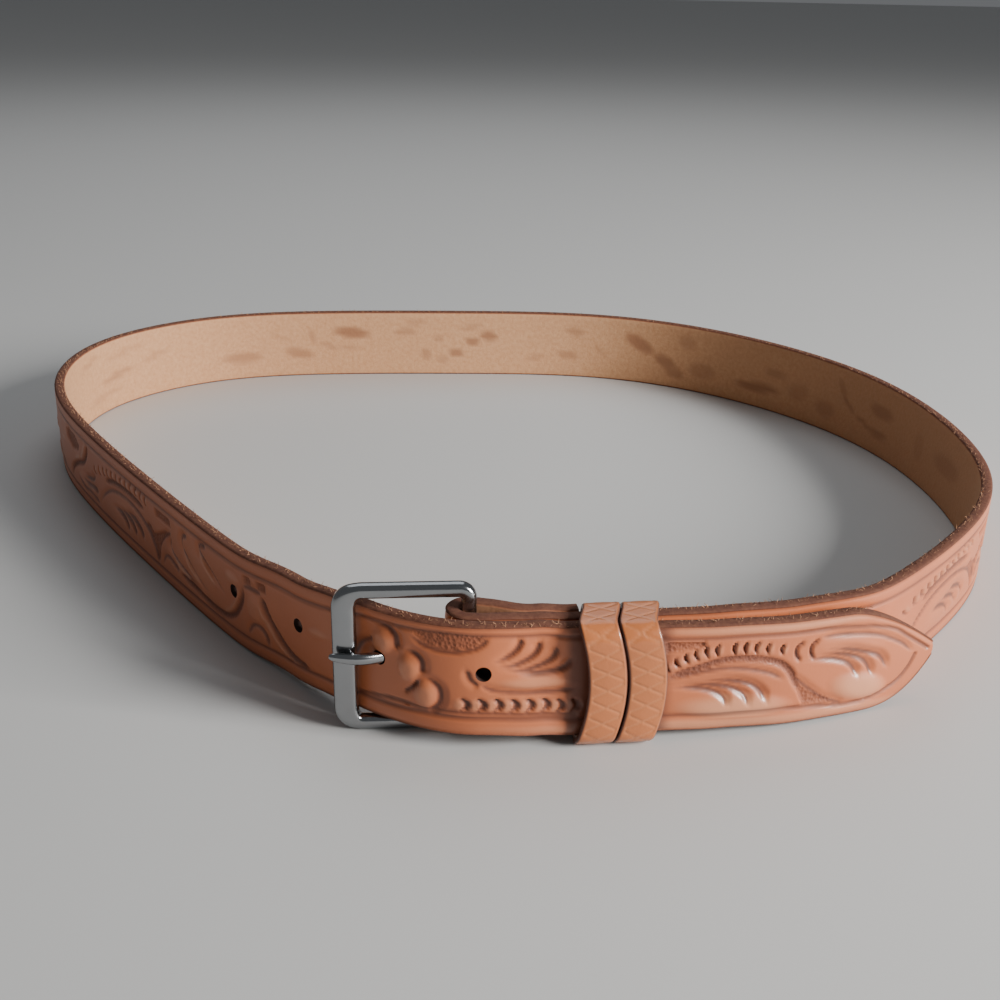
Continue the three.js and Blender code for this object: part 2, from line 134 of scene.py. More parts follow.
# Kinds of tool mark: width, depth (minus is raised), slope side, matting, dye, fade at start, fade at end
MARKS = {
    "border": (0.85, 0.42, 0.0, 0.0, 0.8, 0.0, 0.0),
    "cut": (0.8, 0.42, 1.0, 0.0, 0.85, 0.1, 0.2),
    "vein": (0.95, 0.72, 1.0, 0.0, 0.95, 0.08, 0.5),
    "broad": (1.35, 0.62, 0.0, 0.8, 0.8, 0.12, 0.12),
    "hook": (0.75, 0.7, 0.0, 0.0, 1.0, 0.15, 0.15),
    "ridge": (1.0, -0.32, 0.0, 0.0, -0.45, 0.2, 0.2),
}

# Tool marks near the tip and the buckle: kind, then points as run from the tip and height in millimetres
END_MARKS = [
    ("border", (2.2, 14), (6, 16.6), (10, 19.3), (14, 21.9), (20, 23.7), (28, 24.8), (35, 25.2),
     (42, 25.1)),
    ("border", (6.4, 13.2), (8.6, 9.6), (12.6, 6.3), (20, 3.9), (28, 3.2), (35, 4), (45, 4.8)),
    ("vein", (16, 12), (17.5, 14.4), (20, 16), (28, 18.6), (36, 20)),
    ("vein", (20.5, 10.6), (22, 13.6), (24.5, 15.6), (30, 17.6), (37, 18.7)),
    ("vein", (25, 11), (26.5, 13.6), (29, 15.4), (34, 16.8), (41, 17.5)),
    ("cut", (8, 14.6), (12, 17.8), (20, 21.4), (30, 23), (38, 22.9)),
    ("cut", (28, 3.4), (34, 6), (38, 9), (42, 12.5), (44, 14.5)),
    ("broad", (40, 8), (42, 11.5), (44.5, 15.5), (48, 17.8), (54, 18.9), (61, 19), (68, 17), (76, 14.3)),
    ("hook", (36.6, 22.8), (38.6, 21), (38.5, 18.6), (36.9, 17)),
    ("hook", (40.6, 22.6), (42.6, 21), (42.5, 18.8), (41, 17.2)),
    ("vein", (50, 7.3), (51.5, 10), (54.5, 12), (60, 13.3), (67, 14)),
    ("vein", (54.6, 7), (56, 9.4), (59, 11.2), (64, 12.4), (71, 12.9)),
    ("vein", (60, 7.2), (61.5, 9.4), (64.5, 11), (69, 11.8), (75, 12)),
    ("cut", (45.5, 13), (50, 15), (56, 16.3), (62, 16.7), (69, 15.6), (76, 13.8)),
    ("vein", (98, 20.6), (99.6, 18.3), (103, 16.9), (108, 16.4), (113, 16.9)),
    ("vein", (101.4, 23.3), (102.8, 20.3), (105.8, 18.3), (110, 17.3), (115, 17.6)),
    ("vein", (105.6, 24.3), (107, 21.4), (109.8, 19.4), (113, 18.3), (117, 18.2)),
    ("vein", (110, 25.2), (111.6, 22.3), (114, 20.4), (117.5, 19.1)),
    ("cut", (97, 12.8), (101, 12), (106, 11.6), (114, 11.8), (118, 12.6), (120.8, 15.2)),
    ("cut", (122.6, 17.2), (121.8, 14.8), (119.8, 13.2)),
    ("border", (97, 5.8), (110, 5.9), (124, 6.1), (133, 5.9), (140, 6.4), (150, 5)),
    ("cut", (117.6, 25.6), (121, 22.8), (127, 21.5), (133, 22.4), (137, 24.8)),
    ("vein", (131.4, 5.2), (128.9, 8), (129, 11.6), (131.6, 13.9), (134.4, 14.3)),
    ("vein", (133.2, 15), (133.4, 18), (135.6, 19.9), (138.6, 20)),
    ("vein", (139.6, 20), (140.2, 23.2), (142.8, 25), (146.4, 24.6)),
    ("hook", (133.8, 12.9), (135.4, 10.8), (137.6, 8.9)),
    ("cut", (146, 21), (149.5, 18.5), (152, 14)),
]

# Bead stamps in a row: run, height, tall, wide, turn in degrees
END_BEADS = [
    (46.2, 21, 2.8, 1.3, 12), (50, 21.5, 3.1, 1.3, 12), (53, 21.8, 3.2, 1.35, 10),
    (55.8, 22, 3.3, 1.35, 8), (58.6, 22, 3.3, 1.35, 6), (62.9, 21.8, 3.1, 1.3, 2),
    (65.5, 21.5, 3.1, 1.3, -4), (68, 20.7, 3, 1.3, -12), (70.3, 19.8, 3, 1.3, -20),
    (72.6, 18.7, 2.9, 1.3, -25), (75, 17.4, 2.8, 1.3, -28), (97.6, 8.2, 3.7, 2.9, 180),
    (101.3, 8.2, 3.7, 2.9, 180), (105, 8.3, 3.7, 2.9, 180), (108.8, 8.3, 3.7, 2.9, 180),
    (112.5, 8.3, 3.7, 2.9, 180), (116.2, 8.3, 3.6, 2.8, 180), (119.9, 8.2, 3.5, 2.8, 180),
    (123.5, 8.2, 3.3, 2.6, 180),
]

# Matted grounds near the tip and the buckle, as outlines
END_GROUNDS = [
    ((30, 4.6), (39.6, 4.8), (41.2, 8), (42, 11.2), (38.5, 9)),
    ((118.2, 26), (121.5, 23), (127, 21.8), (132.6, 22.8), (136.6, 26), (128, 26.6)),
    ((66, 22.6), (76, 21.4), (76, 24.2), (66, 24.2)),
]

# Rounded forms near the tip and the buckle: run, height, half run, half height, rise, turn, burnish and
# painted sheen
# The high burnish values on the leaf spots and on the lower and upper border bands are painted highlights:
# paler colour where the light's reflection falls. Elsewhere the burnish is rubbed high spots.
END_DOMES = [
    (24, 7.8, 10, 4.4, 0.75, 12, 1.0), (28, 19.5, 12, 2.8, 0.25, 8, 0.1),
    (58, 6.2, 17, 4.0, 0.75, 2, 1.0), (107, 14.4, 10, 2.1, 0.45, -2, 0.6),
    (132.4, 9.6, 3.2, 4.2, 0.85, 0, 0.4), (136.7, 15.6, 3.2, 3.9, 0.85, 0, 0.4),
    (143.6, 20.8, 3.4, 3.6, 0.85, 0, 0.4), (60, 1.8, 70, 1.9, 0.2, 0, 0.75),
    (50, 27, 36, 1.6, 0.1, 0, 0.7),
]

# The carved vine that goes on round the loop, measured from its own start; only the first has its tail
VINE_STARTS = (161.5, 337.5, 498.5, 659.5, 820.4, 981.4)
VINE_TAIL = 140.0
VINE_MARKS = [
    ("broad", (8, 5), (15, 6.2), (20, 8.8), (25, 13.2), (28, 17.8), (29.6, 19.4)),
    ("ridge", (11, 4.8), (17, 5.8), (22, 8), (27, 12.4), (30, 17)),
    ("cut", (29, 19.6), (33, 19.9), (37, 19.5)),
    ("broad", (36.6, 19), (38, 14.4), (41.6, 9.4), (46.5, 6.8), (54, 6.2), (64, 7), (76, 8)),
    ("cut", (80, 18.8), (85, 15.6), (88.6, 11.8), (90, 7.4), (90.8, 5)),
    ("cut", (91.3, 5), (93, 9), (95.6, 12.4), (100, 15.6)),
    ("ridge", (38.8, 18), (40.4, 14), (43.6, 9.8), (48, 7)),
    ("cut", (26, 5), (27.2, 8), (30, 9.6), (33, 9), (35.4, 5.6)),
    ("vein", (57, 22.9), (61, 22.3), (60.6, 20.4), (56.6, 18.2), (51, 15.4), (46, 13)),
    ("ridge", (52, 13.4), (57, 16.4), (60.2, 19.2), (62, 21.6)),
    ("vein", (69, 21.6), (72.2, 20.6), (72.4, 17.8), (69, 14.8), (62.6, 11.6), (55, 9.4)),
    ("ridge", (62, 9.9), (68, 12.6), (71.6, 16.2), (72.4, 19)),
    ("vein", (80, 17.2), (81, 14.2), (77, 11.4), (70, 9.6), (62, 8.9)),
    ("ridge", (68, 8.3), (75, 9.6), (79.4, 12), (82, 14)),
    ("cut", (76, 8), (84, 9.8), (88, 6)),
    ("cut", (93, 8), (96.5, 12.6), (104, 16), (115, 17.2), (127, 15.4), (136, 10.4), (140.5, 5.6)),
    ("broad", (100, 19.2), (112, 20), (124, 19.2), (133, 17)),
    ("vein", (102, 8.4), (104, 11), (109, 12.8), (116, 13.4)),
    ("vein", (107.6, 7.6), (109.6, 10.2), (114.6, 11.8), (121, 12.2)),
    ("vein", (113.4, 7), (115.4, 9.4), (120, 10.8), (126.4, 11)),
    ("broad", (149, 23.4), (151.6, 19), (156, 15.4), (163, 12.8), (170, 9), (173, 5)),
    ("ridge", (151.8, 22.8), (154.4, 18.8), (159, 16.4), (165, 14)),
    ("vein", (143, 15), (146, 12.6), (150.6, 11.6), (156, 11.6)),
    ("vein", (141.6, 9.4), (145.6, 9.8), (151, 9.4), (158, 9.8)),
    ("cut", (141, 5.8), (149, 6.8), (158, 6.4), (164, 8.6)),
]
VINE_BEADS = [
    (97.6, 22.5, 2.8, 1.9, 0), (101.2, 22.7, 2.8, 1.9, 0), (105, 22.8, 2.9, 1.9, 0),
    (109.2, 22.6, 2.9, 1.9, 0), (113, 22.3, 2.9, 1.9, -4), (117, 21.9, 2.9, 1.9, -6),
    (121, 21.6, 2.9, 1.9, -8), (125, 21.2, 2.9, 1.9, -10), (129, 20.7, 2.9, 1.9, -14),
    (132.8, 20, 2.9, 1.9, -18), (137, 19, 2.9, 1.9, -24), (141.6, 17.6, 2.9, 1.9, -28),
]
VINE_GROUNDS = [
    ((81, 18), (85, 15.2), (88.4, 11.8), (89.8, 7.4), (90.6, 5.6), (91.6, 5.6), (92.6, 9),
     (95, 12.2), (99, 15.2), (96, 16.2), (92.4, 14.2), (88.4, 15.8), (84.4, 18)),
    ((26.4, 20.2), (30.2, 20.6), (30.6, 23), (26.6, 23)),
    ((33.2, 20.6), (36, 20.4), (36.2, 23), (33, 23)),
    ((79.6, 20.2), (90, 20.6), (91, 22.8), (80, 23)),
    ((160, 18), (167, 16.6), (174, 18.6), (175, 21.6), (170, 23.2), (162, 22.8), (158.6, 20.6)),
]
VINE_DOMES = [
    (4, 16.4, 5, 1.4, 0.3, 0, 0.3), (31, 14.4, 4.6, 5, 0.35, 0, 0.15), (60, 14, 11, 5, 0.25, 30, 0.1),
    (116, 10, 20, 6, 0.35, -4, 0.1), (152, 9, 11, 3.4, 0.3, 0, 0.1), (42, 20, 4, 2, 0.3, 0, 0.3),
]

# Lower and upper border lines past the tip: run from the tip, height
LOW_LINE = np.array([
    (45, 4.8), (75, 4.3), (100, 4.6), (131, 4.7), (150, 4.4), (162, 4.4), (300, 3.8), (1100, 4.0),
])
HIGH_LINE = np.array([
    (42, 25.1), (75, 24.9), (96, 26), (130, 26.2), (150, 25.6), (164, 24.3), (1100, 24.4),
])

# Soft stains that the carving leaves on the flesh side: run, height, half run, half height, turn, strength
STAINS = [
    (405, 23, 9, 1.2, 12, 0.35), (424, 13.4, 11, 1.5, 8, 0.5), (430, 22, 12, 1.3, 6, 0.25),
    (415, 7, 14, 1.4, 4, 0.3), (446, 17, 9, 1.4, 14, 0.3), (486, 9.6, 10, 2.6, 0, 0.55),
    (503, 18, 6, 1.2, -20, 0.25), (511, 10.4, 7, 2.6, -12, 0.6), (517, 18, 1.6, 4, 20, 0.35),
    (524, 13.6, 4.5, 1.2, -15, 0.4), (533, 12, 6, 1, 0, 0.35), (534.5, 19.4, 9, 2.6, -5, 0.9),
    (558, 19.6, 5.5, 1.8, 3, 0.5), (563, 24, 5, 1.6, 10, 0.3), (567.5, 9.5, 2.4, 3, 20, 0.5),
    (573, 16.5, 2.6, 1.6, 0, 0.4), (575, 7, 3, 2, 0, 0.35), (581, 10, 3.8, 2, -5, 0.75),
    (588.3, 15.4, 3.8, 1.9, 0, 0.8), (588, 22, 6, 1.6, 10, 0.3), (595.6, 17.8, 4.6, 2.2, -5, 0.9),
    (617, 8.5, 4, 1.6, 15, 0.3), (631.5, 10, 5.5, 2, -5, 0.5), (634.5, 21, 5, 2, -5, 0.55),
    (646, 13, 4, 1.4, -40, 0.25), (664, 18, 8.4, 3.4, -28, 0.8), (676, 11.6, 6, 3, -20, 0.7),
    (681, 7, 5, 3, -10, 0.55), (686, 21.5, 5, 3.5, -20, 0.35), (694, 10, 7, 4, 0, 0.4),
    (721, 9, 12, 2.2, 3, 0.75), (730, 16.8, 8, 1.3, 0, 0.45), (742, 12, 6, 4, 20, 0.3),
    (757, 9, 6, 4, 0, 0.4), (765, 20, 2, 4.5, 30, 0.4), (769, 14.8, 5, 1.1, -38, 0.6),
    (779, 10.2, 6, 1.1, -15, 0.6), (788, 8.6, 7, 1.5, 0, 0.65), (789, 17.8, 8.5, 3, 0, 0.6),
    (816, 14, 4, 6, 0, 0.25), (840, 15.4, 13, 4.2, 5, 0.45),
]


def smooth(u):
    v = np.clip(u, 0, 1)
    return v * v * (3 - 2 * v)


# The middle line and what is measured along it

def loop_points():
    rows = np.array(LOOP) * (HALF_LENGTH, HALF_DEPTH)
    rows = np.vstack([2 * rows[0] - rows[1], rows, 2 * rows[-1] - rows[-2]])
    count = len(LOOP) - 1
    points = []
    for k in range(count * 40 + 1):
        i = min(count - 1, k // 40)
        f = k / 40 - i
        weights = np.array([(1 - f) ** 3, 3 * f ** 3 - 6 * f ** 2 + 4,
                            -3 * f ** 3 + 3 * f ** 2 + 3 * f + 1, f ** 3])
        points.append(weights @ rows[i:i + 4] / 6)
    return points


class MiddleLine:
    """The strap's middle line: loop, fold round the hinge bar, and chape."""

    def __init__(self):
        self.hinge = np.array((FRAME_LEFT + FRAME_LENGTH - WIRE / 2, FRAME_PLANE))
        self.fold = WIRE / 2 + CLEAR + THICK / 2
        self.layers = THICK + PAIR_GAP
        line = loop_points()
        start, slope = line[-1], line[-1] - line[-2]
        slope = slope[1] / slope[0]
        run = self.hinge[0] - start[0]
        for u in np.arange(1, 13) / 12:
            h00, h10, h01 = 2 * u ** 3 - 3 * u ** 2 + 1, u ** 3 - 2 * u ** 2 + u, 3 * u ** 2 - 2 * u ** 3
            line.append(np.array((start[0] + run * u, h00 * start[1] + h10 * run * slope
                                  + h01 * (self.hinge[1] - self.fold))))
        self.body_rows = np.array(line[-413:])
        self.tip_rows = np.array(line[:300])
        self.fold_index = len(line) - 1
        for turn in math.pi * np.arange(1, 25) / 24:
            line.append(self.hinge - self.fold * np.array((math.sin(turn), math.cos(turn))))
        for k in range(1, 47):
            x = self.hinge[0] + CHAPE_LENGTH * k / 46
            line.append(np.array((x, self.body_at(x) + self.apart(x))))
        self.line = np.array(line)
        steps = np.linalg.norm(np.diff(self.line, axis=0), axis=1)
        self.arc = np.concatenate([[0], np.cumsum(steps)])
        self.length = self.arc[-1]
        self.fold_start = self.arc[self.fold_index]

    def apart(self, x):
        shut = smooth((x - self.hinge[0]) / CHAPE_CLOSE)
        return self.layers + (2 * self.fold - self.layers) * (1 - shut)

    def body_at(self, x):
        rows = self.body_rows[np.argsort(self.body_rows[:, 0])]
        return float(np.interp(x, rows[:, 0], rows[:, 1]))

    def tip_at(self, x):
        rows = self.tip_rows[np.argsort(self.tip_rows[:, 0])]
        return float(np.interp(x, rows[:, 0], rows[:, 1]))

    def at(self, s):
        return np.array((np.interp(s, self.arc, self.line[:, 0]), np.interp(s, self.arc, self.line[:, 1]))).T

    def out(self, s):
        d = self.at(np.minimum(s + 0.4, self.length)) - self.at(np.maximum(s - 0.4, 0))
        d = d / np.linalg.norm(d, axis=-1, keepdims=True)
        return np.stack([-d[..., 1], d[..., 0]], axis=-1)


def lift_row(x, column):
    share = np.asarray(x) / HALF_LENGTH
    i = np.clip(np.searchsorted(LIFT[:, 0], share, side="right") - 1, 0, len(LIFT) - 2)
    u = (share - LIFT[i, 0]) / (LIFT[i + 1, 0] - LIFT[i, 0])
    return LIFT[i, column] + (LIFT[i + 1, column] - LIFT[i, column]) * smooth(u)


def lift_at(x, y):
    """Only the front of the loop is lifted."""
    return np.where(np.asarray(y) < 0, WIRE * lift_row(x, 1), 0.0)


def lean_at(s, x):
    return THICK * lift_row(x, 2) * (1 - smooth((s - 170) / 60)) / WIDTH


def reach_at(s):
    """How far the strap reaches below and above its middle at a distance from the tip."""
    low = np.minimum(1, (s + TIP_BLUNT) / TIP_LENGTH)
    high = np.minimum(1, (s + TIP_NOSE) / TIP_TOP)
    return WIDTH / 2 * (1 - (1 - low) ** 2.6), WIDTH / 2 * (1 - (1 - high) ** 1.6)


# Relief of the grain side

def curve_through(points, step=0.4):
    """Evenly spaced samples of a smooth curve through the points, with their share of its length."""
    p = np.array(points, float)
    p = np.vstack([2 * p[0] - p[1], p, 2 * p[-1] - p[-2]])
    out = []
    for a, b, c, d in zip(p, p[1:], p[2:], p[3:]):
        n = max(2, int(np.linalg.norm(c - b) / step))
        f = (np.arange(n) / n)[:, None]
        out.append(0.5 * (2 * b + (c - a) * f + (2 * a - 5 * b + 4 * c - d) * f ** 2
                          + (3 * b - a - 3 * c + d) * f ** 3))
    out.append(p[-2:-1])
    out = np.vstack(out)
    run = np.concatenate([[0], np.cumsum(np.linalg.norm(np.diff(out, axis=0), axis=1))])
    return out, run / run[-1]


class Relief:
    """Heights and masks over points of the grain side, given by run and height in millimetres."""

    def __init__(self, run, high):
        self.run, self.high = run, high
        self.depth = np.zeros(len(run))
        self.dye = np.zeros(len(run))
        self.mat = np.zeros(len(run))
        self.burnish_and_sheen = np.zeros(len(run))

    def near(self, points, reach):
        p = np.array(points, float)
        lo, hi = p.min(axis=0) - reach, p.max(axis=0) + reach
        return np.flatnonzero((self.run > lo[0]) & (self.run < hi[0])
                              & (self.high > lo[1]) & (self.high < hi[1]))

    def mark(self, kind, points, shift=0.0):
        width, depth, side, mat, dye, fade_in, fade_out = MARKS[kind]
        path, share = curve_through([(s + shift, t) for s, t in points])
        near = self.near(path, 3 * width)
        if not len(near):
            return
        spot = np.column_stack([self.run[near], self.high[near]])
        gap = spot[:, None, :] - path[None, :, :]
        best = np.argmin((gap ** 2).sum(axis=2), axis=1)
        gap = gap[np.arange(len(near)), best]
        ahead = np.gradient(path, axis=0)[best]
        ahead /= np.linalg.norm(ahead, axis=1, keepdims=True)
        away = np.linalg.norm(gap, axis=1) * np.sign(ahead[:, 0] * gap[:, 1] - ahead[:, 1] * gap[:, 0])
        u = share[best]
        fade = np.ones(len(u))
        if fade_in:
            fade *= smooth(0.35 + 0.65 * u / fade_in)
        if fade_out:
            fade *= smooth(0.12 + 0.88 * (1 - u) / fade_out)
        reach = width * (0.55 + 0.45 * fade)
        slope = np.where(away * side > 0, 2.6, 1.0) * reach
        form = np.clip(1 - np.abs(away) / slope, 0, 1)
        flat = smooth(form * (1.7 if mat else 1.15))
        self.depth[near] = np.where(depth > 0, np.maximum(self.depth[near], depth * fade * flat),
                                    self.depth[near] + depth * fade * flat)
        ink = np.clip(1 - np.abs(away) / reach, 0, 1) * fade
        if dye > 0:
            self.dye[near] = np.maximum(self.dye[near], dye * smooth(1.4 * ink))
            self.mat[near] = np.maximum(self.mat[near], mat * smooth(2 * ink))
        else:
            self.burnish_and_sheen[near] = np.maximum(self.burnish_and_sheen[near], -dye * smooth(1.3 * ink))

    def bead(self, run, high, tall, wide, turn, shift=0.0):
        a = math.radians(turn)
        near = self.near([(run + shift, high)], tall)
        p, q = self.run[near] - run - shift, self.high[near] - high
        x, y = p * math.cos(a) + q * math.sin(a), q * math.cos(a) - p * math.sin(a)
        y = y / (tall / 2)
        bow = x - wide * 0.42 * (1 - 1.5 * y * y)
        inside = np.clip(1.25 - np.abs(y) ** 2.4, 0, 1)
        dent = np.clip(1 - np.abs(bow) / (0.42 * wide), 0, 1) * inside
        crown = np.clip(1 - ((x + 0.35 * wide) / (0.55 * wide)) ** 2 - 0.8 * y * y, 0, 1)
        self.depth[near] = np.maximum(self.depth[near], 0.75 * smooth(1.3 * dent)) - 0.18 * crown
        self.dye[near] = np.maximum(self.dye[near], smooth(1.6 * dent))
        self.burnish_and_sheen[near] = np.maximum(self.burnish_and_sheen[near], 0.55 * crown)

    def ground(self, outline, shift=0.0):
        ring = np.array([(s + shift, t) for s, t in outline], float)
        near = self.near(ring, 0.3)
        if not len(near):
            return
        p, q = self.run[near], self.high[near]
        inside = np.zeros(len(near), bool)
        close = np.full(len(near), 1e9)
        for (x0, y0), (x1, y1) in zip(ring, np.roll(ring, -1, axis=0)):
            cross = (y0 > q) != (y1 > q)
            inside ^= cross & (p < (x1 - x0) * (q - y0) / ((y1 - y0) or 1e-9) + x0)
            square = (x1 - x0) ** 2 + (y1 - y0) ** 2
            u = np.clip(((p - x0) * (x1 - x0) + (q - y0) * (y1 - y0)) / square, 0, 1)
            close = np.minimum(close, np.hypot(p - x0 - u * (x1 - x0), q - y0 - u * (y1 - y0)))
        form = np.where(inside, smooth(0.35 + close / 0.8), 0)
        self.depth[near] = np.maximum(self.depth[near], 0.62 * form)
        self.dye[near] = np.maximum(self.dye[near], 0.5 * form)
        self.mat[near] = np.maximum(self.mat[near], form)

    def dome(self, run, high, half_run, half_high, rise, turn, burnish_and_sheen, shift=0.0):
        a = math.radians(turn)
        near = self.near([(run + shift, high)], max(half_run, half_high))
        p, q = self.run[near] - run - shift, self.high[near] - high
        x, y = (p * math.cos(a) + q * math.sin(a)) / half_run, (q * math.cos(a) - p * math.sin(a)) / half_high
        form = smooth(1 - x * x - y * y)
        self.depth[near] -= rise * form
        self.burnish_and_sheen[near] = np.maximum(self.burnish_and_sheen[near], burnish_and_sheen * form)

    def border(self, line, first):
        width, depth, _, _, dye, _, _ = MARKS["border"]
        gap = np.abs(self.high - np.interp(self.run, line[:, 0], line[:, 1]))
        form = smooth(1.2 * np.clip(1 - gap / width, 0, 1))
        form = form * (self.run > first)
        self.depth = np.maximum(self.depth, depth * form)
        self.dye = np.maximum(self.dye, dye * form)

    def carve(self):
        for row in END_DOMES:
            self.dome(*row, shift=0.4)
        for start in VINE_STARTS:
            for row in VINE_DOMES:
                self.dome(*row, shift=start)
        base = self.depth.copy()
        self.depth[:] = 0
        self.border(LOW_LINE, 44)
        self.border(HIGH_LINE, 42)
        for outline in END_GROUNDS:
            self.ground(outline, 0.4)
        for kind, *points in END_MARKS:
            self.mark(kind, points, 0.4)
        for row in END_BEADS:
            self.bead(*row, shift=0.4)
        for k, start in enumerate(VINE_STARTS):
            last = VINE_TAIL if k else math.inf
            for outline in VINE_GROUNDS:
                if outline[0][0] < last:
                    self.ground(outline, start)
            for kind, *points in VINE_MARKS:
                if points[0][0] < last:
                    self.mark(kind, points, start)
            for row in VINE_BEADS:
                self.bead(*row, shift=start)
        # Painted shadow: the strap left of and under the keepers (run 73 to 101) is darkened through the dye
        # mask, standing in for the keepers' cast shadow.
        keeper_shadow = 0.85 * smooth((self.run - 73) / 4) * smooth((101 - self.run) / 3)
        self.dye = self.dye + (1 - self.dye) * keeper_shadow
        self.depth += base


# Meshes

def new_mesh(name, verts, faces, smooth_angle=40):
    mesh = bpy.data.meshes.new(name)
    mesh.from_pydata([tuple(v) for v in np.asarray(verts) * MM], [], faces)
    mesh.update()
    obj = bpy.data.objects.new(name, mesh)
    bpy.context.scene.collection.objects.link(obj)
    shade(obj, smooth_angle)
    return obj


def shade(obj, angle):
    obj.data.polygons.foreach_set("use_smooth", [True] * len(obj.data.polygons))
    obj.data.set_sharp_from_angle(angle=math.radians(angle))


def loft_faces(count, n, closed):
    faces = []
    for i in range(count if closed else count - 1):
        a, b = i * n, (i + 1) % count * n
        faces += [(a + k, b + k, b + (k + 1) % n, a + (k + 1) % n) for k in range(n)]
    if not closed:
        faces += [tuple(range(n)), tuple(range((count - 1) * n, count * n))[::-1]]
    return faces


def lofted(name, rings, closed, smooth_angle=40):
    """A closed body through rings of equal count, its faces turned outwards."""
    rings = np.asarray(rings, float)
    count, n = rings.shape[:2]
    obj = new_mesh(name, rings.reshape(-1, 3), loft_faces(count, n, closed), smooth_angle)
    if signed_volume(obj.data) < 0:
        obj.data.flip_normals()
    return obj


def signed_volume(mesh):
    mesh.calc_loop_triangles()
    co = np.empty(len(mesh.vertices) * 3)
    mesh.vertices.foreach_get("co", co)
    tri = np.empty(len(mesh.loop_triangles) * 3, int)
    mesh.loop_triangles.foreach_get("vertices", tri)
    a, b, c = co.reshape(-1, 3)[tri.reshape(-1, 3)].transpose(1, 0, 2)
    return float((a * np.cross(b, c)).sum() / 6)


def flatten(obj, name):
    """The evaluated object as a plain mesh object of that name; the old one goes."""
    graph = bpy.context.evaluated_depsgraph_get()
    mesh = bpy.data.meshes.new_from_object(obj.evaluated_get(graph), depsgraph=graph)
    bpy.data.objects.remove(obj)
    mesh.name = name
    made = bpy.data.objects.new(name, mesh)
    bpy.context.scene.collection.objects.link(made)
    return made


def combine(obj, other, operation, name):
    """obj with other cut away or added; other goes."""
    bpy.context.view_layer.update()
    modifier = obj.modifiers.new("Combine", "BOOLEAN")
    modifier.object = other
    modifier.operation = operation
    modifier.solver = "MANIFOLD"
    modifier.material_mode = "TRANSFER"
    made = flatten(obj, name)
    bpy.data.objects.remove(other)
    return made


def post(name, centre, axis, radius, half, sides=40):
    """A round post of that half length along a level direction."""
    axis = np.array((axis[0], axis[1], 0.0))
    side = np.array((-axis[1], axis[0], 0.0))
    rings = []
    for end in (-half, half):
        turn = np.arange(sides) * 2 * math.pi / sides
        rings.append(np.array(centre) + end * axis + radius * (np.outer(np.cos(turn), side)
                                                               + np.outer(np.sin(turn), (0, 0, 1))))
    return lofted(name, rings, False)


# Node trees

class Value:
    """A number socket on which arithmetic adds Math nodes."""

    def __init__(self, tree, socket):
        self.tree, self.socket = tree, socket

    def math(self, operation, *others, clamp=False):
        return self.tree.add("ShaderNodeMath", {"operation": operation, "use_clamp": clamp}, {
            i: other for i, other in enumerate((self, *others))})

    def __add__(self, other):
        return self.math("ADD", other)

    def __sub__(self, other):
        return self.math("SUBTRACT", other)

    def __mul__(self, other):
        return self.math("MULTIPLY", other)

    def __truediv__(self, other):
        return self.math("DIVIDE", other)

    def __rsub__(self, other):
        return (self * -1) + other

    __radd__ = __add__
    __rmul__ = __mul__

    def clamp(self):
        return self.math("ADD", 0.0, clamp=True)

    def power(self, other):
        return self.math("POWER", other)


class Tree:
    """Adds nodes to one tree."""

    def __init__(self, tree):
        self.tree = tree

    def add(self, kind, settings=None, values=None, out=0):
        node = self.tree.nodes.new(kind)
        for key, setting in (settings or {}).items():
            setattr(node, key, setting)
        for key, value in (values or {}).items():
            self.put(node.inputs[key], value)
        return Value(self, node.outputs[out]) if len(node.outputs) else node

    def put(self, socket, value):
        if isinstance(value, Value):
            self.tree.links.new(value.socket, socket)
        else:
            socket.default_value = value

    def mask(self, name):
        return self.add("ShaderNodeAttribute", {"attribute_name": name}, out="Fac")

    def noise(self, scale, detail=2.0, coords=None, rough=0.5, out="Fac"):
        values = {"Scale": scale, "Detail": detail, "Roughness": rough}
        if coords:
            values["Vector"] = coords
        return self.add("ShaderNodeTexNoise", {}, values, out=out)

    def mix(self, factor, a, b):
        node = self.tree.nodes.new("ShaderNodeMix")
        node.data_type = "RGBA"
        for key, value in zip((0, 6, 7), (factor, a, b)):
            self.put(node.inputs[key], value)
        return Value(self, node.outputs[2])


def material(name):
    made = bpy.data.materials.new(name)
    made.use_nodes = True
    made.node_tree.nodes.clear()
    tree = Tree(made.node_tree)
    shader = made.node_tree.nodes.new("ShaderNodeBsdfPrincipled")
    end = made.node_tree.nodes.new("ShaderNodeOutputMaterial")
    made.node_tree.links.new(shader.outputs[0], end.inputs[0])
    return made, tree, shader


def colour(rgb):
    return (*rgb, 1.0)


def bumped(tree, shader, height, distance, strength):
    tree.put(shader.inputs["Normal"], tree.add("ShaderNodeBump", {}, {
        "Height": height, "Distance": distance, "Strength": strength}))


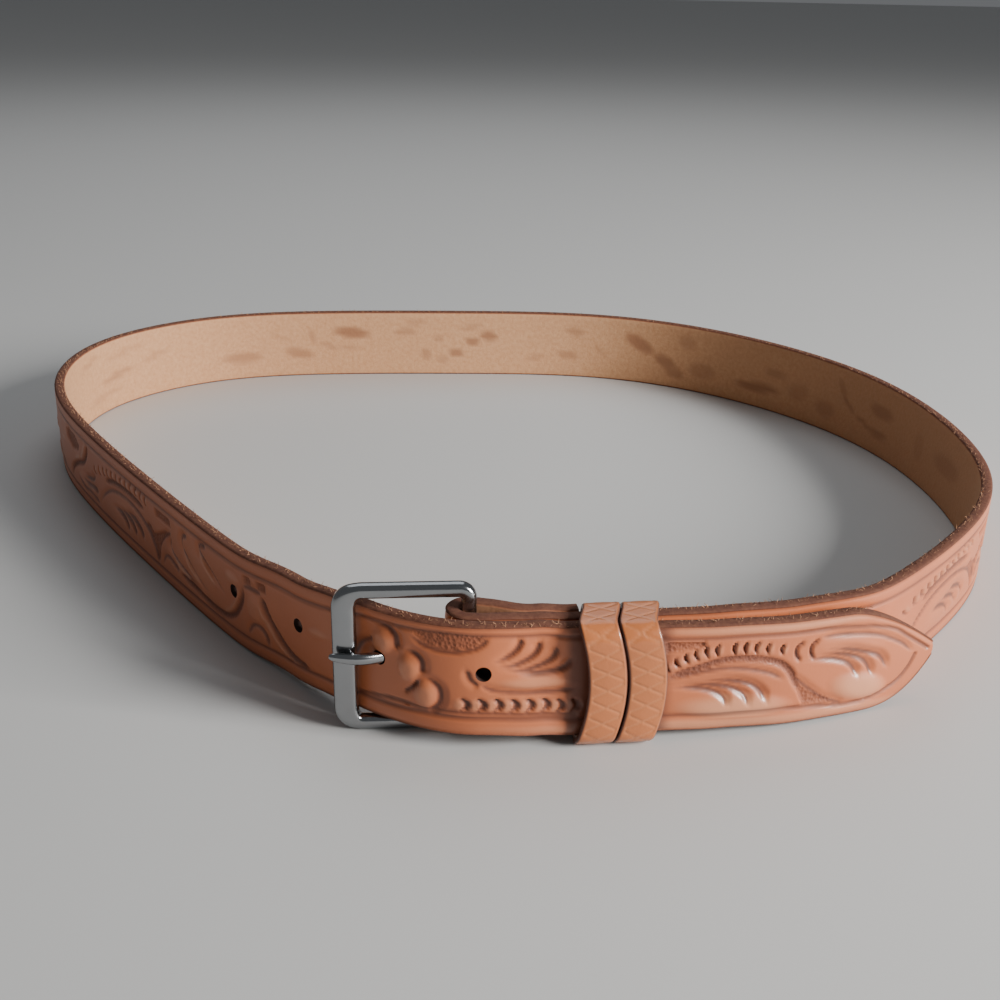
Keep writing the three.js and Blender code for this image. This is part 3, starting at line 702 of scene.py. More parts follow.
def strap_leather(settings):
    """Dyed and carved grain side, pale suede flesh side and dark burnished edges in one material."""
    made, tree, shader = material("Carved strap leather")
    flat = tree.add("ShaderNodeUVMap", {"uv_map": "strap"})
    place = tree.add("ShaderNodeTexCoord", out="Object")
    flesh, edge = tree.mask("flesh"), tree.mask("edge")
    dye, mat, burnish_and_sheen, stain_and_shade = tree.mask("dye"), tree.mask("mat"), tree.mask("burnish_and_sheen"), tree.mask("stain_and_shade")
    broad = tree.noise(28.0, 3.0, flat)
    fine = tree.noise(1400.0, 3.0, place)
    pits = tree.add("ShaderNodeTexVoronoi", {"feature": "F1"}, {
        "Vector": place, "Scale": 1150.0}, out="Distance")
    fibre = tree.noise(700.0, 4.0, place, 0.65)
    patches = broad.math("MULTIPLY_ADD", 1.6, -0.3, clamp=True)
    grain = tree.mix(patches, colour(settings.grain), colour(settings.grain_deep))
    # Paler where high spots are rubbed, and painted highlight (pale sheen) on the leaf spots and border
    # bands.
    grain = tree.mix((burnish_and_sheen * 0.5).clamp(), grain, colour(settings.burnished_and_sheen))
    # Dark dye in the tool marks; this mask also carries the painted shadow beside and under the keepers.
    grain = tree.mix((dye * 0.9 + mat * 0.18 * (1 - pits)).clamp(), grain, colour(settings.dye))
    suede = tree.mix((fibre * 1.3 - 0.35).clamp(), colour(settings.flesh), colour(settings.flesh_pale))
    # Real stains and painted shade on the flesh side, mixed towards one darker colour.
    suede = tree.mix((stain_and_shade * (0.55 + fibre * 0.6)).clamp(), suede, colour(settings.flesh_stain_and_shade))
    rim = tree.mix((fibre * 1.8 - 0.5).clamp(), colour(settings.edge), colour(settings.edge_pale))
    skin = tree.mix(flesh, grain, suede)
    tree.put(shader.inputs["Base Color"], tree.mix(edge, skin, rim))
    rough = 0.40 + fine * 0.10 + mat * 0.25 + dye * 0.12 - burnish_and_sheen * 0.10
    rough = rough * (1 - (flesh + edge).clamp()) + (flesh + edge).clamp() * 0.88
    tree.put(shader.inputs["Roughness"], rough)
    tree.put(shader.inputs["Coat Weight"], (0.25 + burnish_and_sheen * 0.6) * (1 - (flesh + edge).clamp()))
    shader.inputs["Coat Roughness"].default_value = 0.24
    height = (fine * 0.12 + pits * mat * 0.9) * (1 - flesh) + fibre * (flesh + edge * 0.8) * 0.55
    bumped(tree, shader, height, 0.0003, 0.8)
    return made


def keeper_leather(settings):
    """Smooth glossy leather of the keepers with embossed crossing lines."""
    made, tree, shader = material("Keeper leather")
    place = tree.add("ShaderNodeTexCoord", out="Object")
    cut, edge = tree.mask("dye"), tree.mask("edge")
    broad = tree.noise(60.0, 3.0, place)
    fine = tree.noise(1500.0, 3.0, place)
    skin = tree.mix(broad, colour(settings.skin), colour(settings.skin_deep))
    skin = tree.mix((cut * 0.2).clamp(), skin, colour(settings.line))
    tree.put(shader.inputs["Base Color"], tree.mix(edge, skin, colour(settings.rim)))
    tree.put(shader.inputs["Roughness"], 0.27 + fine * 0.12 + edge * 0.4)
    shader.inputs["Coat Weight"].default_value = 0.6
    shader.inputs["Coat Roughness"].default_value = 0.18
    bumped(tree, shader, fine, 0.0002, 0.25)
    return made


def bright_metal(name, rgb, rough, wear):
    """Plated metal with faint rub marks."""
    made, tree, shader = material(name)
    place = tree.add("ShaderNodeTexCoord", out="Object")
    rub = tree.noise(300.0, 4.0, place, 0.6)
    dull = colour([c * 0.6 for c in rgb])
    tree.put(shader.inputs["Base Color"], tree.mix((rub * wear).clamp(), colour(rgb), dull))
    tree.put(shader.inputs["Roughness"], rough + rub * 0.12)
    shader.inputs["Metallic"].default_value = 1.0
    return made


def plain(name, rgb, rough):
    made, _, shader = material(name)
    shader.inputs["Base Color"].default_value = colour(rgb)
    shader.inputs["Roughness"].default_value = rough
    return made


# The strap, first as a flat carved blank, then bent along the middle line

def strap_places(line):
    places, s = [0.0, 0.35, 0.7], 1.1
    while s < line.length:
        places.append(s)
        fold = line.fold_start - 2 < s < line.fold_start + math.pi * line.fold + 2
        s += 0.55 if fold else 0.44 if s < 154 else 0.6 if s < 330 else 1.3
    return np.array(places + [line.length])


def strap_section(settings):
    """Half section in shares: outward offset, height, and what the point belongs to."""
    rows = int(settings.rows)
    w, bend = THICK / 2, settings.rounding
    grain = [(w, u, 0) for u in np.linspace(-1, 1, rows)]
    top = [(w - bend * (1 - math.cos(a)), 1 + math.sin(a) * bend, 1) for a in np.radians((30, 60, 90))]
    flesh = [(-w, u, 2) for u in np.linspace(1, -1, 17)]
    over = [(-w + 0.7 * (1 - math.cos(a)), 1 + math.sin(a) * bend, 1) for a in np.radians((85, 45))]
    under = [(o, -u, k) for o, u, k in reversed(top + over)]
    return grain + top + over + flesh + under


def strap_blank(line, settings):
    places = strap_places(line)
    section = strap_section(settings)
    bend = settings.rounding
    offset = np.array([o for o, _, _ in section])
    level = np.array([u for _, u, _ in section])
    part = np.array([k for _, _, k in section])
    n, count = len(section), len(places)
    below, above = reach_at(places)
    half = ((above + below) / 2)[:, None]
    inner = half - np.minimum(bend, 0.5 * half)
    across = np.where(np.abs(level) <= 1, level * inner, np.sign(level) * (inner + (np.abs(level) - 1)
                      * (half - inner) / bend))
    high = across + ((above - below) / 2)[:, None]
    off = np.broadcast_to(offset, high.shape).copy()
    thin = np.clip(0.55 + places / 1.5, 0, 1)[:, None]
    off *= thin
    run = np.broadcast_to(places[:, None], high.shape)
    grain = np.broadcast_to(part == 0, high.shape)
    relief = Relief(run[grain], high[grain] + WIDTH / 2)
    relief.carve()
    # The grain side falls away towards its edges and the relief ends before the fold
    rim = smooth((np.abs(across) - half + 2.0) / 2.0)
    live = 1 - smooth((run - line.fold_start + 16) / 8)
    sunk = np.zeros(high.shape)
    sunk[grain] = relief.depth
    off = np.where(grain, off - sunk * live * (1 - 0.8 * rim) - 0.42 * rim * thin, off)
    spots = line.at(places)
    x = spots[:, 0][:, None]
    lean = lean_at(places[:, None], x)
    rise = WIDTH / 2 + lift_at(x, spots[:, 1][:, None])
    verts = np.stack([run, off - high * lean, high + rise], axis=-1).reshape(-1, 3)
    obj = new_mesh("strap_blank", verts, loft_faces(count, n, False), 180)
    if signed_volume(obj.data) < 0:
        obj.data.flip_normals()
    masks = {name: np.zeros(high.shape) for name in ("dye", "mat", "burnish_and_sheen", "stain_and_shade", "flesh", "edge")}
    for name in ("dye", "mat", "burnish_and_sheen"):
        masks[name][grain] = getattr(relief, name)
        masks[name] *= live
    masks["flesh"][:, part == 2] = 1
    masks["edge"][:, part == 1] = 1
    border = 0.5 * smooth((np.abs(across) - half + 1.3) / 0.8)
    masks["edge"] = np.maximum(masks["edge"], np.where(grain, border, 0))
    # Painted shade on the flesh side: darker past run 680, where the inner face turns away from the window
    # light, and much darker towards the fold, where it lies shaded between the layers. It joins the real
    # stains in one mask.
    painted_shade = np.maximum(0.42 * smooth((run - 680) / 130), 0.9 * smooth((run - line.fold_start + 48) / 14))
    stain_and_shade = stains(run, high + WIDTH / 2)
    masks["stain_and_shade"] = np.where(part == 2, stain_and_shade + (1 - stain_and_shade) * painted_shade, 0)
    for name, values in masks.items():
        layer = obj.data.attributes.new(name, "FLOAT", "POINT")
        layer.data.foreach_set("value", values.ravel().astype(np.float32))
    uv = obj.data.uv_layers.new(name="strap")
    corner = np.empty(len(obj.data.loops), int)
    obj.data.loops.foreach_get("vertex_index", corner)
    flat = np.stack([run, high + np.where(part == 2, 60.0, 0.0)], axis=-1).reshape(-1, 2) * MM
    uv.data.foreach_set("uv", flat[corner].ravel())
    return obj


def stains(run, high):
    """Soft dark marks on the flesh side, behind the deeper carving."""
    total = np.zeros(run.shape)
    for s, t, half_run, half_high, turn, strength in STAINS:
        a = math.radians(turn)
        x = ((run - s) * math.cos(a) + (high - t) * math.sin(a)) / half_run
        y = ((high - t) * math.cos(a) - (run - s) * math.sin(a)) / half_high
        total = np.maximum(total, strength * smooth(1.25 - x * x - y * y))
    return total


def node_group(name, **sockets):
    """A Geometry Nodes group: itself, its tree, the values of its inputs by name, and its output node."""
    group = bpy.data.node_groups.new(name, "GeometryNodeTree")
    group.is_modifier = True
    for key, kind in sockets.items():
        group.interface.new_socket(key, in_out="INPUT", socket_type="NodeSocket" + kind)
    group.interface.new_socket("Geometry", in_out="OUTPUT", socket_type="NodeSocketGeometry")
    tree = Tree(group)
    source = group.nodes.new("NodeGroupInput")
    given = {key: Value(tree, source.outputs[key]) for key in sockets}
    return group, tree, given, group.nodes.new("NodeGroupOutput")


def bend_tree():
    """Geometry Nodes: carries a flat blank along a path, its run on X and its outward side on Y."""
    group, tree, given, end = node_group("Bend along a path", Geometry="Geometry", Path="Object")
    path = tree.add("GeometryNodeObjectInfo", {}, {"Object": given["Path"]}, out="Geometry")
    spot = tree.add("GeometryNodeInputPosition")
    split = group.nodes.new("ShaderNodeSeparateXYZ")
    tree.put(split.inputs[0], spot)
    sample = group.nodes.new("GeometryNodeSampleCurve")
    sample.mode = "LENGTH"
    sample.use_all_curves = True
    tree.put(sample.inputs["Curves"], path)
    tree.put(sample.inputs["Length"], Value(tree, split.outputs[0]))
    ahead = Value(tree, sample.outputs["Tangent"])
    out = tree.add("ShaderNodeVectorMath", {"operation": "CROSS_PRODUCT"}, {0: (0.0, 0.0, 1.0), 1: ahead})
    out = tree.add("ShaderNodeVectorMath", {"operation": "NORMALIZE"}, {0: out})
    side = Value(tree, split.outputs[1])
    away = tree.add("ShaderNodeVectorMath", {"operation": "SCALE"}, {0: out, "Scale": side})
    up = tree.add("ShaderNodeCombineXYZ", {}, {2: Value(tree, split.outputs[2])})
    spot = Value(tree, sample.outputs["Position"])
    total = tree.add("ShaderNodeVectorMath", {"operation": "ADD"}, {0: spot, 1: away})
    total = tree.add("ShaderNodeVectorMath", {"operation": "ADD"}, {0: total, 1: up})
    moved = tree.add("GeometryNodeSetPosition", {}, {
        "Geometry": given["Geometry"], "Position": total})
    tree.put(end.inputs[0], moved)
    return group


def path_object(name, points):
    data = bpy.data.curves.new(name, "CURVE")
    data.dimensions = "3D"
    spline = data.splines.new("POLY")
    spline.points.add(len(points) - 1)
    flat = np.column_stack([np.asarray(points) * MM, np.ones(len(points))])
    spline.points.foreach_set("co", flat.ravel())
    obj = bpy.data.objects.new(name, data)
    bpy.context.scene.collection.objects.link(obj)
    return obj


def with_nodes(obj, group, **inputs):
    modifier = obj.modifiers.new(group.name, "NODES")
    modifier.node_group = group
    for item in group.interface.items_tree:
        if item.in_out == "INPUT" and item.name.lower() in inputs:
            modifier[item.identifier] = inputs[item.name.lower()]


def prong_path(steps=10):
    share = np.linspace(0, len(PRONG) - 1, (len(PRONG) - 1) * steps + 1)
    rows = np.array([np.interp(share, range(len(PRONG)), PRONG[:, k]) for k in range(4)]).T
    kernel = np.hanning(2 * steps + 1)
    kernel /= kernel.sum()
    padded = np.pad(rows, ((steps, steps), (0, 0)), mode="reflect", reflect_type="odd")
    return np.array([np.convolve(padded[:, k], kernel, mode="valid") for k in range(4)]).T


def plane_at(line, x):
    return FRAME_PLANE - FRAME_TILT * (line.hinge[0] - x) / FRAME_LENGTH


def prong_rings(line, rows, grow, sides=24):
    rings = []
    for i, (run, deep, rise, size) in enumerate(rows):
        a, b = rows[max(0, i - 1)], rows[min(len(rows) - 1, i + 1)]
        step = np.array(((b[0] - a[0]) * FRAME_LENGTH, (b[1] - a[1]) * WIRE))
        step /= np.linalg.norm(step)
        x = line.hinge[0] + run * FRAME_LENGTH
        y = plane_at(line, x) + deep * WIRE
        z = FRAME_HEIGHT / 2 + rise * WIRE
        turn = np.arange(sides) * 2 * math.pi / sides
        o = (PRONG_THICK * size + grow) * np.cos(turn)
        rings.append(np.column_stack([x - o * step[1], y + o * step[0],
                                      z + (PRONG_HIGH * size + grow) * np.sin(turn)]))
    return rings


def box_cut(name, centre, size):
    square = ((-1, -1), (1, -1), (1, 1), (-1, 1))
    corners = [np.array(centre) + np.array(size) / 2 * np.array((side, *place))
               for side in (-1, 1) for place in square]
    return lofted(name, [corners[:4], corners[4:]], False)


def strap_cuts(line):
    cuts = []
    for share in HOLES:
        s = np.array(share * WIDTH)
        x, y = line.at(s)
        cuts.append(post("hole_cut", (x, y, HOLE_HEIGHT + lift_at(x, y)), line.out(s), HOLE_RADIUS,
                         1.5 * THICK))
    cuts.append(lofted("prong_cut", prong_rings(line, PRONG[PRONG_THROUGH], CLEAR + 0.05), False))
    reach = line.fold + THICK / 2 + CLEAR
    cuts.append(box_cut("slot_cut", (line.hinge[0] - line.fold + SLOT_BACK, line.hinge[1], FRAME_HEIGHT / 2),
                        (SLOT_LENGTH, 2 * reach, SLOT_HEIGHT)))
    low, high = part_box("chape_rivet")
    centre = [(a + b) / 2 / MM for a, b in zip(low, high)]
    front = low[1] / MM
    cuts.append(post("rivet_cut", (centre[0], (front + high[1] / MM) / 2 + 1, centre[2]), (0, 1), RIVET_HOLE,
                     (high[1] / MM - front) / 2 + 0.2))
    cuts.append(post("head_cut", (centre[0], front + 0.15, centre[2]), (0, 1), *RIVET_POCKET))
    return cuts


def tint(name, description, rgb):
    return bpy.props.FloatVectorProperty(name=name, description=description, subtype="COLOR", default=rgb,
                                         min=0, max=1)


def number(name, description, value, low=0.0, **more):
    return bpy.props.FloatProperty(name=name, description=description, default=value, min=low, **more)


class StrapSettings(bpy.types.PropertyGroup):
    rows: bpy.props.IntProperty(name="Rows", description="Rows of points over the carved side",
                                default=47, min=12, max=80)
    rounding: number("Edge rounding", "Radius of the edges in millimetres", 0.75, 0.1, max=1.5)
    grain: tint("Grain", "Dyed grain side", (0.60, 0.175, 0.064))
    grain_deep: tint("Deep grain", "Darker patches of the grain side", (0.45, 0.122, 0.044))
    # Paler colour of rubbed high spots, also used as painted sheen where the light's reflection falls.
    burnished_and_sheen: tint("Burnished", "High spots rubbed paler, and painted sheen", (0.76, 0.37, 0.20))
    dye: tint("Dye", "Dark dye left in the tool marks", (0.085, 0.022, 0.012))
    flesh: tint("Flesh side", "Suede inside of the strap", (0.50, 0.25, 0.12))
    flesh_pale: tint("Pale fibres", "Pale fibres of the suede", (0.68, 0.40, 0.22))
    # Colour of the real stains, also used for the painted shade on the flesh side.
    flesh_stain_and_shade: tint("Stains", "Stains and painted shade on the flesh side", (0.24, 0.095, 0.045))
    edge: tint("Edges", "Dark edges of the strap", (0.085, 0.023, 0.012))
    edge_pale: tint("Pale edges", "Paler streaks along the edges", (0.18, 0.068, 0.034))
    fibre: tint("Loose fibre", "Loose fibres on the upper edge", (0.42, 0.22, 0.12))
    fibres: bpy.props.IntProperty(name="Fibres", description="Loose fibres along the upper edge",
                                  default=2500, min=0)


class BuckleSettings(bpy.types.PropertyGroup):
    metal: tint("Metal", "Plated metal of the buckle", (0.34, 0.35, 0.36))
    squareness: number("Squareness", "How square the bars' section is", 0.76, 0.3, max=1)
    parts: bpy.props.IntProperty(name="Corner steps", description="Steps round each corner",
                                 default=18, min=4)


class KeeperSettings(bpy.types.PropertyGroup):
    width: number("Width", "Width of a keeper in millimetres", 9.2, 2)
    thick: number("Thickness", "Thickness in millimetres", 1.8, 0.5)
    pitch: number("Line pitch", "Height of one embossed diamond in millimetres", 4.6, 2)
    depth: number("Line depth", "Depth of the embossed lines in millimetres", 0.15)
    skin: tint("Leather", "Keeper leather", (0.58, 0.185, 0.058))
    skin_deep: tint("Deep leather", "Darker patches", (0.40, 0.12, 0.036))
    line: tint("Lines", "Colour in the embossed lines", (0.66, 0.30, 0.14))
    rim: tint("Edges", "Edges of the keepers", (0.10, 0.035, 0.02))


class StageSettings(bpy.types.PropertyGroup):
    floor: tint("Floor", "Colour of the floor", (0.55, 0.55, 0.54))
    key: number("Window light", "Power of the large light", 36.0)
    rim: number("Rim light", "Power of the soft light from behind", 4.0)
    fill: number("Room light", "Strength of the even light", 0.15)


class BELT_OT_strap(bpy.types.Operator):
    """Make the carved strap, bent into its loop"""
    bl_idname = "belt.strap"
    bl_label = "Strap"

    def execute(self, context):
        settings = context.scene.belt_strap
        line = MiddleLine()
        blank = strap_blank(line, settings)
        path = path_object("strap_path", np.column_stack([line.line, np.zeros(len(line.line))]))
        with_nodes(blank, bend_tree(), path=path)
        strap = flatten(blank, "strap_bent")
        bpy.data.objects.remove(path)
        leather = strap_leather(settings)
        strap.data.materials.clear()
        strap.data.materials.append(leather)
        dark = plain("Cut leather", (0.035, 0.014, 0.009), 0.9)
        cuts = strap_cuts(line)
        for cut in cuts:
            cut.data.materials.append(dark)
        for cut in cuts:
            strap = combine(strap, cut, "DIFFERENCE", "tooled_strap")
        shade(strap, 62)
        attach(strap, "root")
        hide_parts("strap")
        return {"FINISHED"}


def fibre_tree():
    """Geometry Nodes: short loose fibres scattered along a path."""
    group, tree, given, end = node_group("Fibres along a path", Geometry="Geometry", Count="Int",
                                         Length="Float", Spread="Float", Material="Material")
    points = tree.add("GeometryNodeCurveToPoints", {"mode": "COUNT"}, {
        "Curve": given["Geometry"], "Count": given["Count"]})
    shake = tree.add("FunctionNodeRandomValue", {"data_type": "FLOAT_VECTOR"}, {
        "Min": (-1.0, -1.0, -0.12), "Max": (1.0, 1.0, 0.0), "Seed": 3})
    shake = tree.add("ShaderNodeVectorMath", {"operation": "SCALE"}, {0: shake, "Scale": given["Spread"]})
    points = tree.add("GeometryNodeSetPosition", {}, {"Geometry": points, "Offset": shake})
    fibre = tree.add("GeometryNodeMeshCone", {"fill_type": "NGON"}, {
        "Vertices": 3, "Side Segments": 1, "Radius Top": 0.03 * MM, "Radius Bottom": 0.11 * MM,
        "Depth": given["Length"]})
    tilt = tree.add("FunctionNodeRandomValue", {"data_type": "FLOAT_VECTOR"}, {
        "Min": (-1.25, -1.25, 0.0), "Max": (1.25, 1.25, 6.28), "Seed": 7})
    size = tree.add("FunctionNodeRandomValue", {"data_type": "FLOAT"}, {
        "Min": 0.4, "Max": 1.0, "Seed": 11}, out=1)
    placed = tree.add("GeometryNodeInstanceOnPoints", {}, {
        "Points": points, "Instance": fibre, "Rotation": tilt, "Scale": size})
    real = tree.add("GeometryNodeRealizeInstances", {}, {"Geometry": placed})
    tree.put(end.inputs[0], tree.add("GeometryNodeSetMaterial", {}, {
        "Geometry": real, "Material": given["Material"]}))
    return group


class BELT_OT_fibres(bpy.types.Operator):
    """Scatter loose fibres along the strap's upper edge"""
    bl_idname = "belt.fibres"
    bl_label = "Edge fibres"

    def execute(self, context):
        settings = context.scene.belt_strap
        line = MiddleLine()
        s = np.arange(22, line.fold_start - 45, 2.0)
        spots = line.at(s)
        spots = spots - line.out(s) * 0.5
        high = WIDTH + lift_at(spots[:, 0], spots[:, 1]) - 0.1
        path = path_object("fibre_path", np.column_stack([spots, high]))
        with_nodes(path, fibre_tree(), count=settings.fibres, length=0.0013, spread=0.001,
                   material=plain("Loose fibre", settings.fibre, 0.9))
        fibres = flatten(path, "edge_fibres")
        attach(fibres, "root")
        return {"FINISHED"}


def stations_round(corners, turns, pitch=None):
    """Places and outward directions round an outline of four rounded corners: centre, first angle, radius."""
    stations = []
    for i, (cx, cz, start, r) in enumerate(corners):
        angles = np.radians(start + 90 * np.arange(turns + 1) / turns)
        stations += [(cx + r * math.cos(a), cz + r * math.sin(a), math.cos(a), math.sin(a)) for a in angles]
        here = stations[-1]
        nx, nz = here[2:]
        other = corners[(i + 1) % 4]
        goal = (other[0] + other[3] * nx, other[1] + other[3] * nz)
        steps = max(2, int(math.dist(here[:2], goal) / pitch)) if pitch else 12
        stations += [(here[0] + u * (goal[0] - here[0]), here[1] + u * (goal[1] - here[1]), nx, nz)
                     for u in np.arange(1, steps) / steps]
    return stations


def frame_rings(line, settings):
    left, right = FRAME_LEFT + BAR / 2, line.hinge[0]
    low, high = WIRE / 2, FRAME_HEIGHT - WIRE / 2
    a, b = FRAME_CORNER - WIRE / 2, HINGE_CORNER - WIRE / 2
    corners = [(right - b, high - b, 0, b), (left + a, high - a, 90, a), (left + a, low + a, 180, a),
               (right - b, low + b, 270, b)]
    rings = []
    turn = np.arange(32) * math.pi / 16
    c = np.sign(np.cos(turn)) * np.abs(np.cos(turn)) ** settings.squareness
    s = np.sign(np.sin(turn)) * np.abs(np.sin(turn)) ** settings.squareness
    for x, z, nx, nz in stations_round(corners, settings.parts):
        half = WIRE / 2 + (BAR - WIRE) / 2 * smooth((-nx - 0.15) / 0.85)
        deep = plane_at(line, x) + WIRE / 2 * s
        rings.append(np.column_stack([x + half * c * nx, deep, z + half * c * nz]))
    return rings


class BELT_OT_buckle(bpy.types.Operator):
    """Make the buckle's frame and its prong"""
    bl_idname = "belt.buckle"
    bl_label = "Buckle"

    def execute(self, context):
        settings = context.scene.belt_buckle
        line = MiddleLine()
        metal = bright_metal("Polished plated metal", settings.metal, 0.12, 0.25)
        frame = lofted("frame", frame_rings(line, settings), True, 60)
        frame.name = "polished_frame"
        finger = lofted("finger", prong_rings(line, prong_path(), 0), False, 60)
        centre = (*line.hinge, FRAME_HEIGHT / 2)
        outer, inner = WIRE / 2 + CLEAR + RING_THICK, WIRE / 2 + CLEAR
        cut, tall = RING_BEVEL
        turn = np.arange(49) * math.pi / 24
        rings = []
        for t in turn[:-1]:
            away = np.array((math.cos(t), math.sin(t), 0))
            section = [(outer, tall - RING_HALF), (outer, RING_HALF - tall), (outer - cut, RING_HALF),
                       (inner, RING_HALF), (inner, -RING_HALF), (outer - cut, -RING_HALF)]
            rings.append([np.array(centre) + r * away + np.array((0, 0, h)) for r, h in section])
        ring = lofted("ring", rings, True, 40)
        prong = combine(finger, ring, "UNION", "polished_prong")
        shade(prong, 45)
        for obj, node in ((frame, "buckle_frame"), (prong, "buckle_prong")):
            obj.data.materials.clear()
            obj.data.materials.append(metal)
            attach(obj, "root")
            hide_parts(node)
        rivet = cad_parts["chape_rivet"]
        rivet.data.materials.clear()
        rivet.data.materials.append(bright_metal("Rivet metal", (0.6, 0.6, 0.6), 0.3, 0.3))
        return {"FINISHED"}


def keeper_band(name, line, settings, middle_x):
    """A band of leather bent into a closed loop, its front face embossed with crossing lines."""
    thick, width = settings.thick, settings.width
    front = line.tip_at(middle_x) - THICK / 2 - CLEAR - thick / 2 - KEEPER_LOOSE
    back = line.body_at(middle_x) + THICK / 2 + CLEAR + thick / 2 + KEEPER_SLACK
    low = thick / 2
    high = float(lift_at(middle_x, front)) + WIDTH + CLEAR + 0.1 + thick / 2
    r = KEEPER_CORNER
    corners = [(back - r, high - r, 0, r), (front + r, high - r, 90, r),
               (front + r, low + r, 180, r), (back - r, low + r, 270, r)]
    stations = stations_round(corners, 12, 0.32)
    middle, centre = (front + back) / 2, (low + high) / 2
    turn = math.radians(KEEPER_TURN)
    w, t, bend = width / 2, thick / 2, 0.5
    face = [(a, t, 0) for a in np.linspace(-w + bend, w - bend, 29)]
    edge = [(w - bend + bend * math.sin(a), t - bend * (1 - math.cos(a)), 1) for a in np.radians((45, 90))]
    edge += [(w, -t + bend, 1), (w - bend, -t, 1)]
    inside = [(a, -t, 0) for a in np.linspace(w - 2 * bend, -w + 2 * bend, 6)]
    section = face + edge + inside + [(-a, o, k) for a, o, k in reversed(edge)]
    along = np.array([a for a, _, _ in section])
    out = np.array([o for _, o, _ in section])
    rim = np.array([k for _, _, k in section], float)
    travel, rings, dye = 0.0, [], []
    for i, (y, z, ny, nz) in enumerate(stations):
        travel += math.hypot(y - stations[i - 1][0], z - stations[i - 1][1]) if i else 0
        near = float(1 - smooth((y - front - 1) / (back - front - 2)))
        share = (z - centre) / (high - centre)
        slide = -KEEPER_BOW * near * share * share
        swell = -0.5 * near * (1 - share * share)
        cross = np.zeros(len(section))
        for side in (-1, 1):
            phase = (along / (width * 0.5) * side * 0.5 + travel / settings.pitch) % 1
            off = np.abs(phase - 0.5) * settings.pitch * 0.82
            cross = np.maximum(cross, np.clip(1 - off / 0.36, 0, 1))
        cross = smooth(1.3 * cross) * (np.abs(along) < w - 0.9) * (out > 0)
        crown = 0.22 * abs(ny) * (1 - (along / w) ** 2) * (out > 0)
        o = out - settings.depth * cross + crown
        px, py = along + slide, y + o * ny + swell - middle
        rings.append(np.column_stack([middle_x + px * math.cos(turn) - py * math.sin(turn),
                                      middle + px * math.sin(turn) + py * math.cos(turn), z + o * nz]))
        dye.append(cross)
    obj = lofted(name, rings, True, 50)
    for key, values in (("dye", np.array(dye).ravel()), ("edge", np.tile(rim, len(stations)))):
        layer = obj.data.attributes.new(key, "FLOAT", "POINT")
        layer.data.foreach_set("value", values.astype(np.float32))
    return obj


class BELT_OT_keepers(bpy.types.Operator):
    """Make the two embossed keepers side by side"""
    bl_idname = "belt.keepers"
    bl_label = "Keepers"

    def execute(self, context):
        settings = context.scene.belt_keepers
        line = MiddleLine()
        leather = keeper_leather(settings)
        first = line.hinge[0] + CHAPE_LENGTH + KEEPER_SPACE + settings.width / 2
        pitch = (settings.width + PAIR_GAP) * math.cos(math.radians(KEEPER_TURN))
        for name, node, x in (("embossed_keeper_left", "keeper_left", first),
                              ("embossed_keeper_right", "keeper_right", first + pitch)):
            keeper = keeper_band(name, line, settings, x)
            keeper.data.materials.append(leather)
            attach(keeper, "root")
            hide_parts(node)
        return {"FINISHED"}


def lamp(name, place, goal, power, size, rgb=(1, 1, 1)):
    data = bpy.data.lights.new(name, "AREA")
    data.energy, data.size, data.color = power, size, rgb
    obj = bpy.data.objects.new(name, data)
    obj.location = place
    obj.rotation_euler = (Vector(goal) - Vector(place)).to_track_quat("-Z", "Y").to_euler()
    bpy.context.scene.collection.objects.link(obj)
    return obj


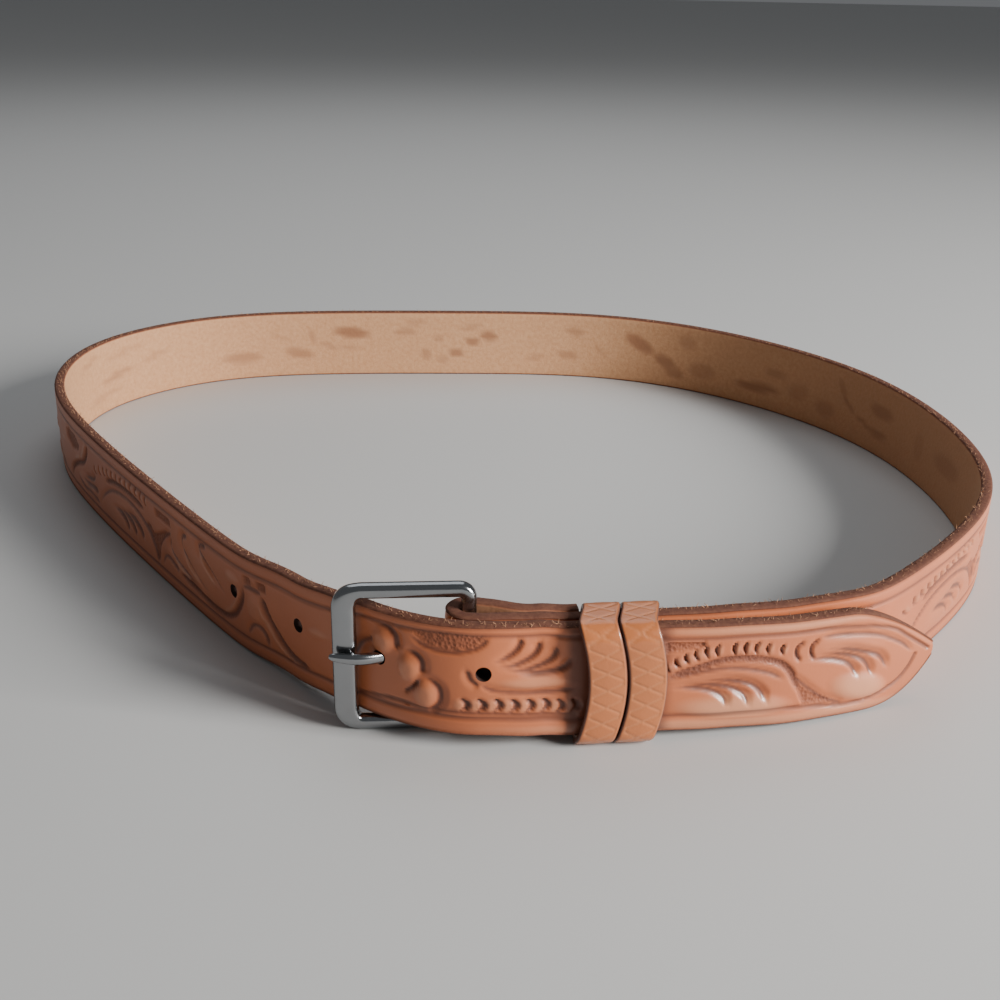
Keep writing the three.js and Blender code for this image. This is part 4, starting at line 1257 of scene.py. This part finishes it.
class BELT_OT_stage(bpy.types.Operator):
    """Add the floor, the lights and the camera"""
    bl_idname = "belt.stage"
    bl_label = "Stage"

    def execute(self, context):
        settings = context.scene.belt_stage
        size = 6000
        square = [(-size, -size, 0), (size, -size, 0), (size, size, 0), (-size, size, 0)]
        floor = new_mesh("floor", square, [(0, 1, 2, 3)])
        floor.data.materials.append(plain("Pale floor", settings.floor, 0.7))
        key = lamp("window", (1.10, -0.52, 0.50), (0.0, 0.0, 0.02), settings.key, 0.5, (1.0, 0.98, 0.96))
        rim = lamp("sky", (-0.1, 0.75, 1.05), (0.0, 0.0, 0.02), settings.rim, 1.0, (0.95, 0.97, 1.0))
        world = bpy.data.worlds.new("Studio")
        world.use_nodes = True
        world.node_tree.nodes["Background"].inputs[0].default_value = (0.93, 0.96, 1.0, 1.0)
        world.node_tree.nodes["Background"].inputs[1].default_value = settings.fill
        context.scene.world = world
        data = bpy.data.cameras.new("camera")
        data.lens, data.sensor_width = 45.0, 36.0
        data.clip_start, data.clip_end = 0.01, 50
        camera = bpy.data.objects.new("camera", data)
        camera.matrix_world = (Matrix.Translation(CAMERA_PLACE)
                               @ Matrix.Rotation(math.radians(90 - CAMERA_DOWN), 4, "X")
                               @ Matrix.Rotation(math.radians(CAMERA_ROLL), 4, "Z"))
        context.scene.collection.objects.link(camera)
        context.scene.camera = camera
        return {"FINISHED"}


class BELT_PT_panel(bpy.types.Panel):
    """Sizes and colours of the belt"""
    bl_label = "Tooled belt"
    bl_idname = "BELT_PT_panel"
    bl_space_type = "VIEW_3D"
    bl_region_type = "UI"
    bl_category = "Belt"

    def draw(self, context):
        for operator, group in STEPS:
            box = self.layout.box()
            box.operator(operator)
            settings = getattr(context.scene, group)
            for key in settings.__annotations__:
                box.prop(settings, key)


STEPS = (("belt.strap", "belt_strap"), ("belt.fibres", "belt_strap"), ("belt.buckle", "belt_buckle"),
         ("belt.keepers", "belt_keepers"), ("belt.stage", "belt_stage"))
GROUPS = {"belt_strap": StrapSettings, "belt_buckle": BuckleSettings, "belt_keepers": KeeperSettings,
          "belt_stage": StageSettings}
CLASSES = (*GROUPS.values(), BELT_OT_strap, BELT_OT_fibres, BELT_OT_buckle, BELT_OT_keepers, BELT_OT_stage,
           BELT_PT_panel)


def register():
    for cls in CLASSES:
        bpy.utils.register_class(cls)
    for name, group in GROUPS.items():
        setattr(bpy.types.Scene, name, bpy.props.PointerProperty(type=group))


def unregister():
    for name in GROUPS:
        delattr(bpy.types.Scene, name)
    for cls in reversed(CLASSES):
        bpy.utils.unregister_class(cls)


def main():
    register()
    bpy.ops.belt.strap()
    bpy.ops.belt.fibres()
    bpy.ops.belt.buckle()
    bpy.ops.belt.keepers()
    bpy.ops.belt.stage()


if __name__ == "__main__":
    main()
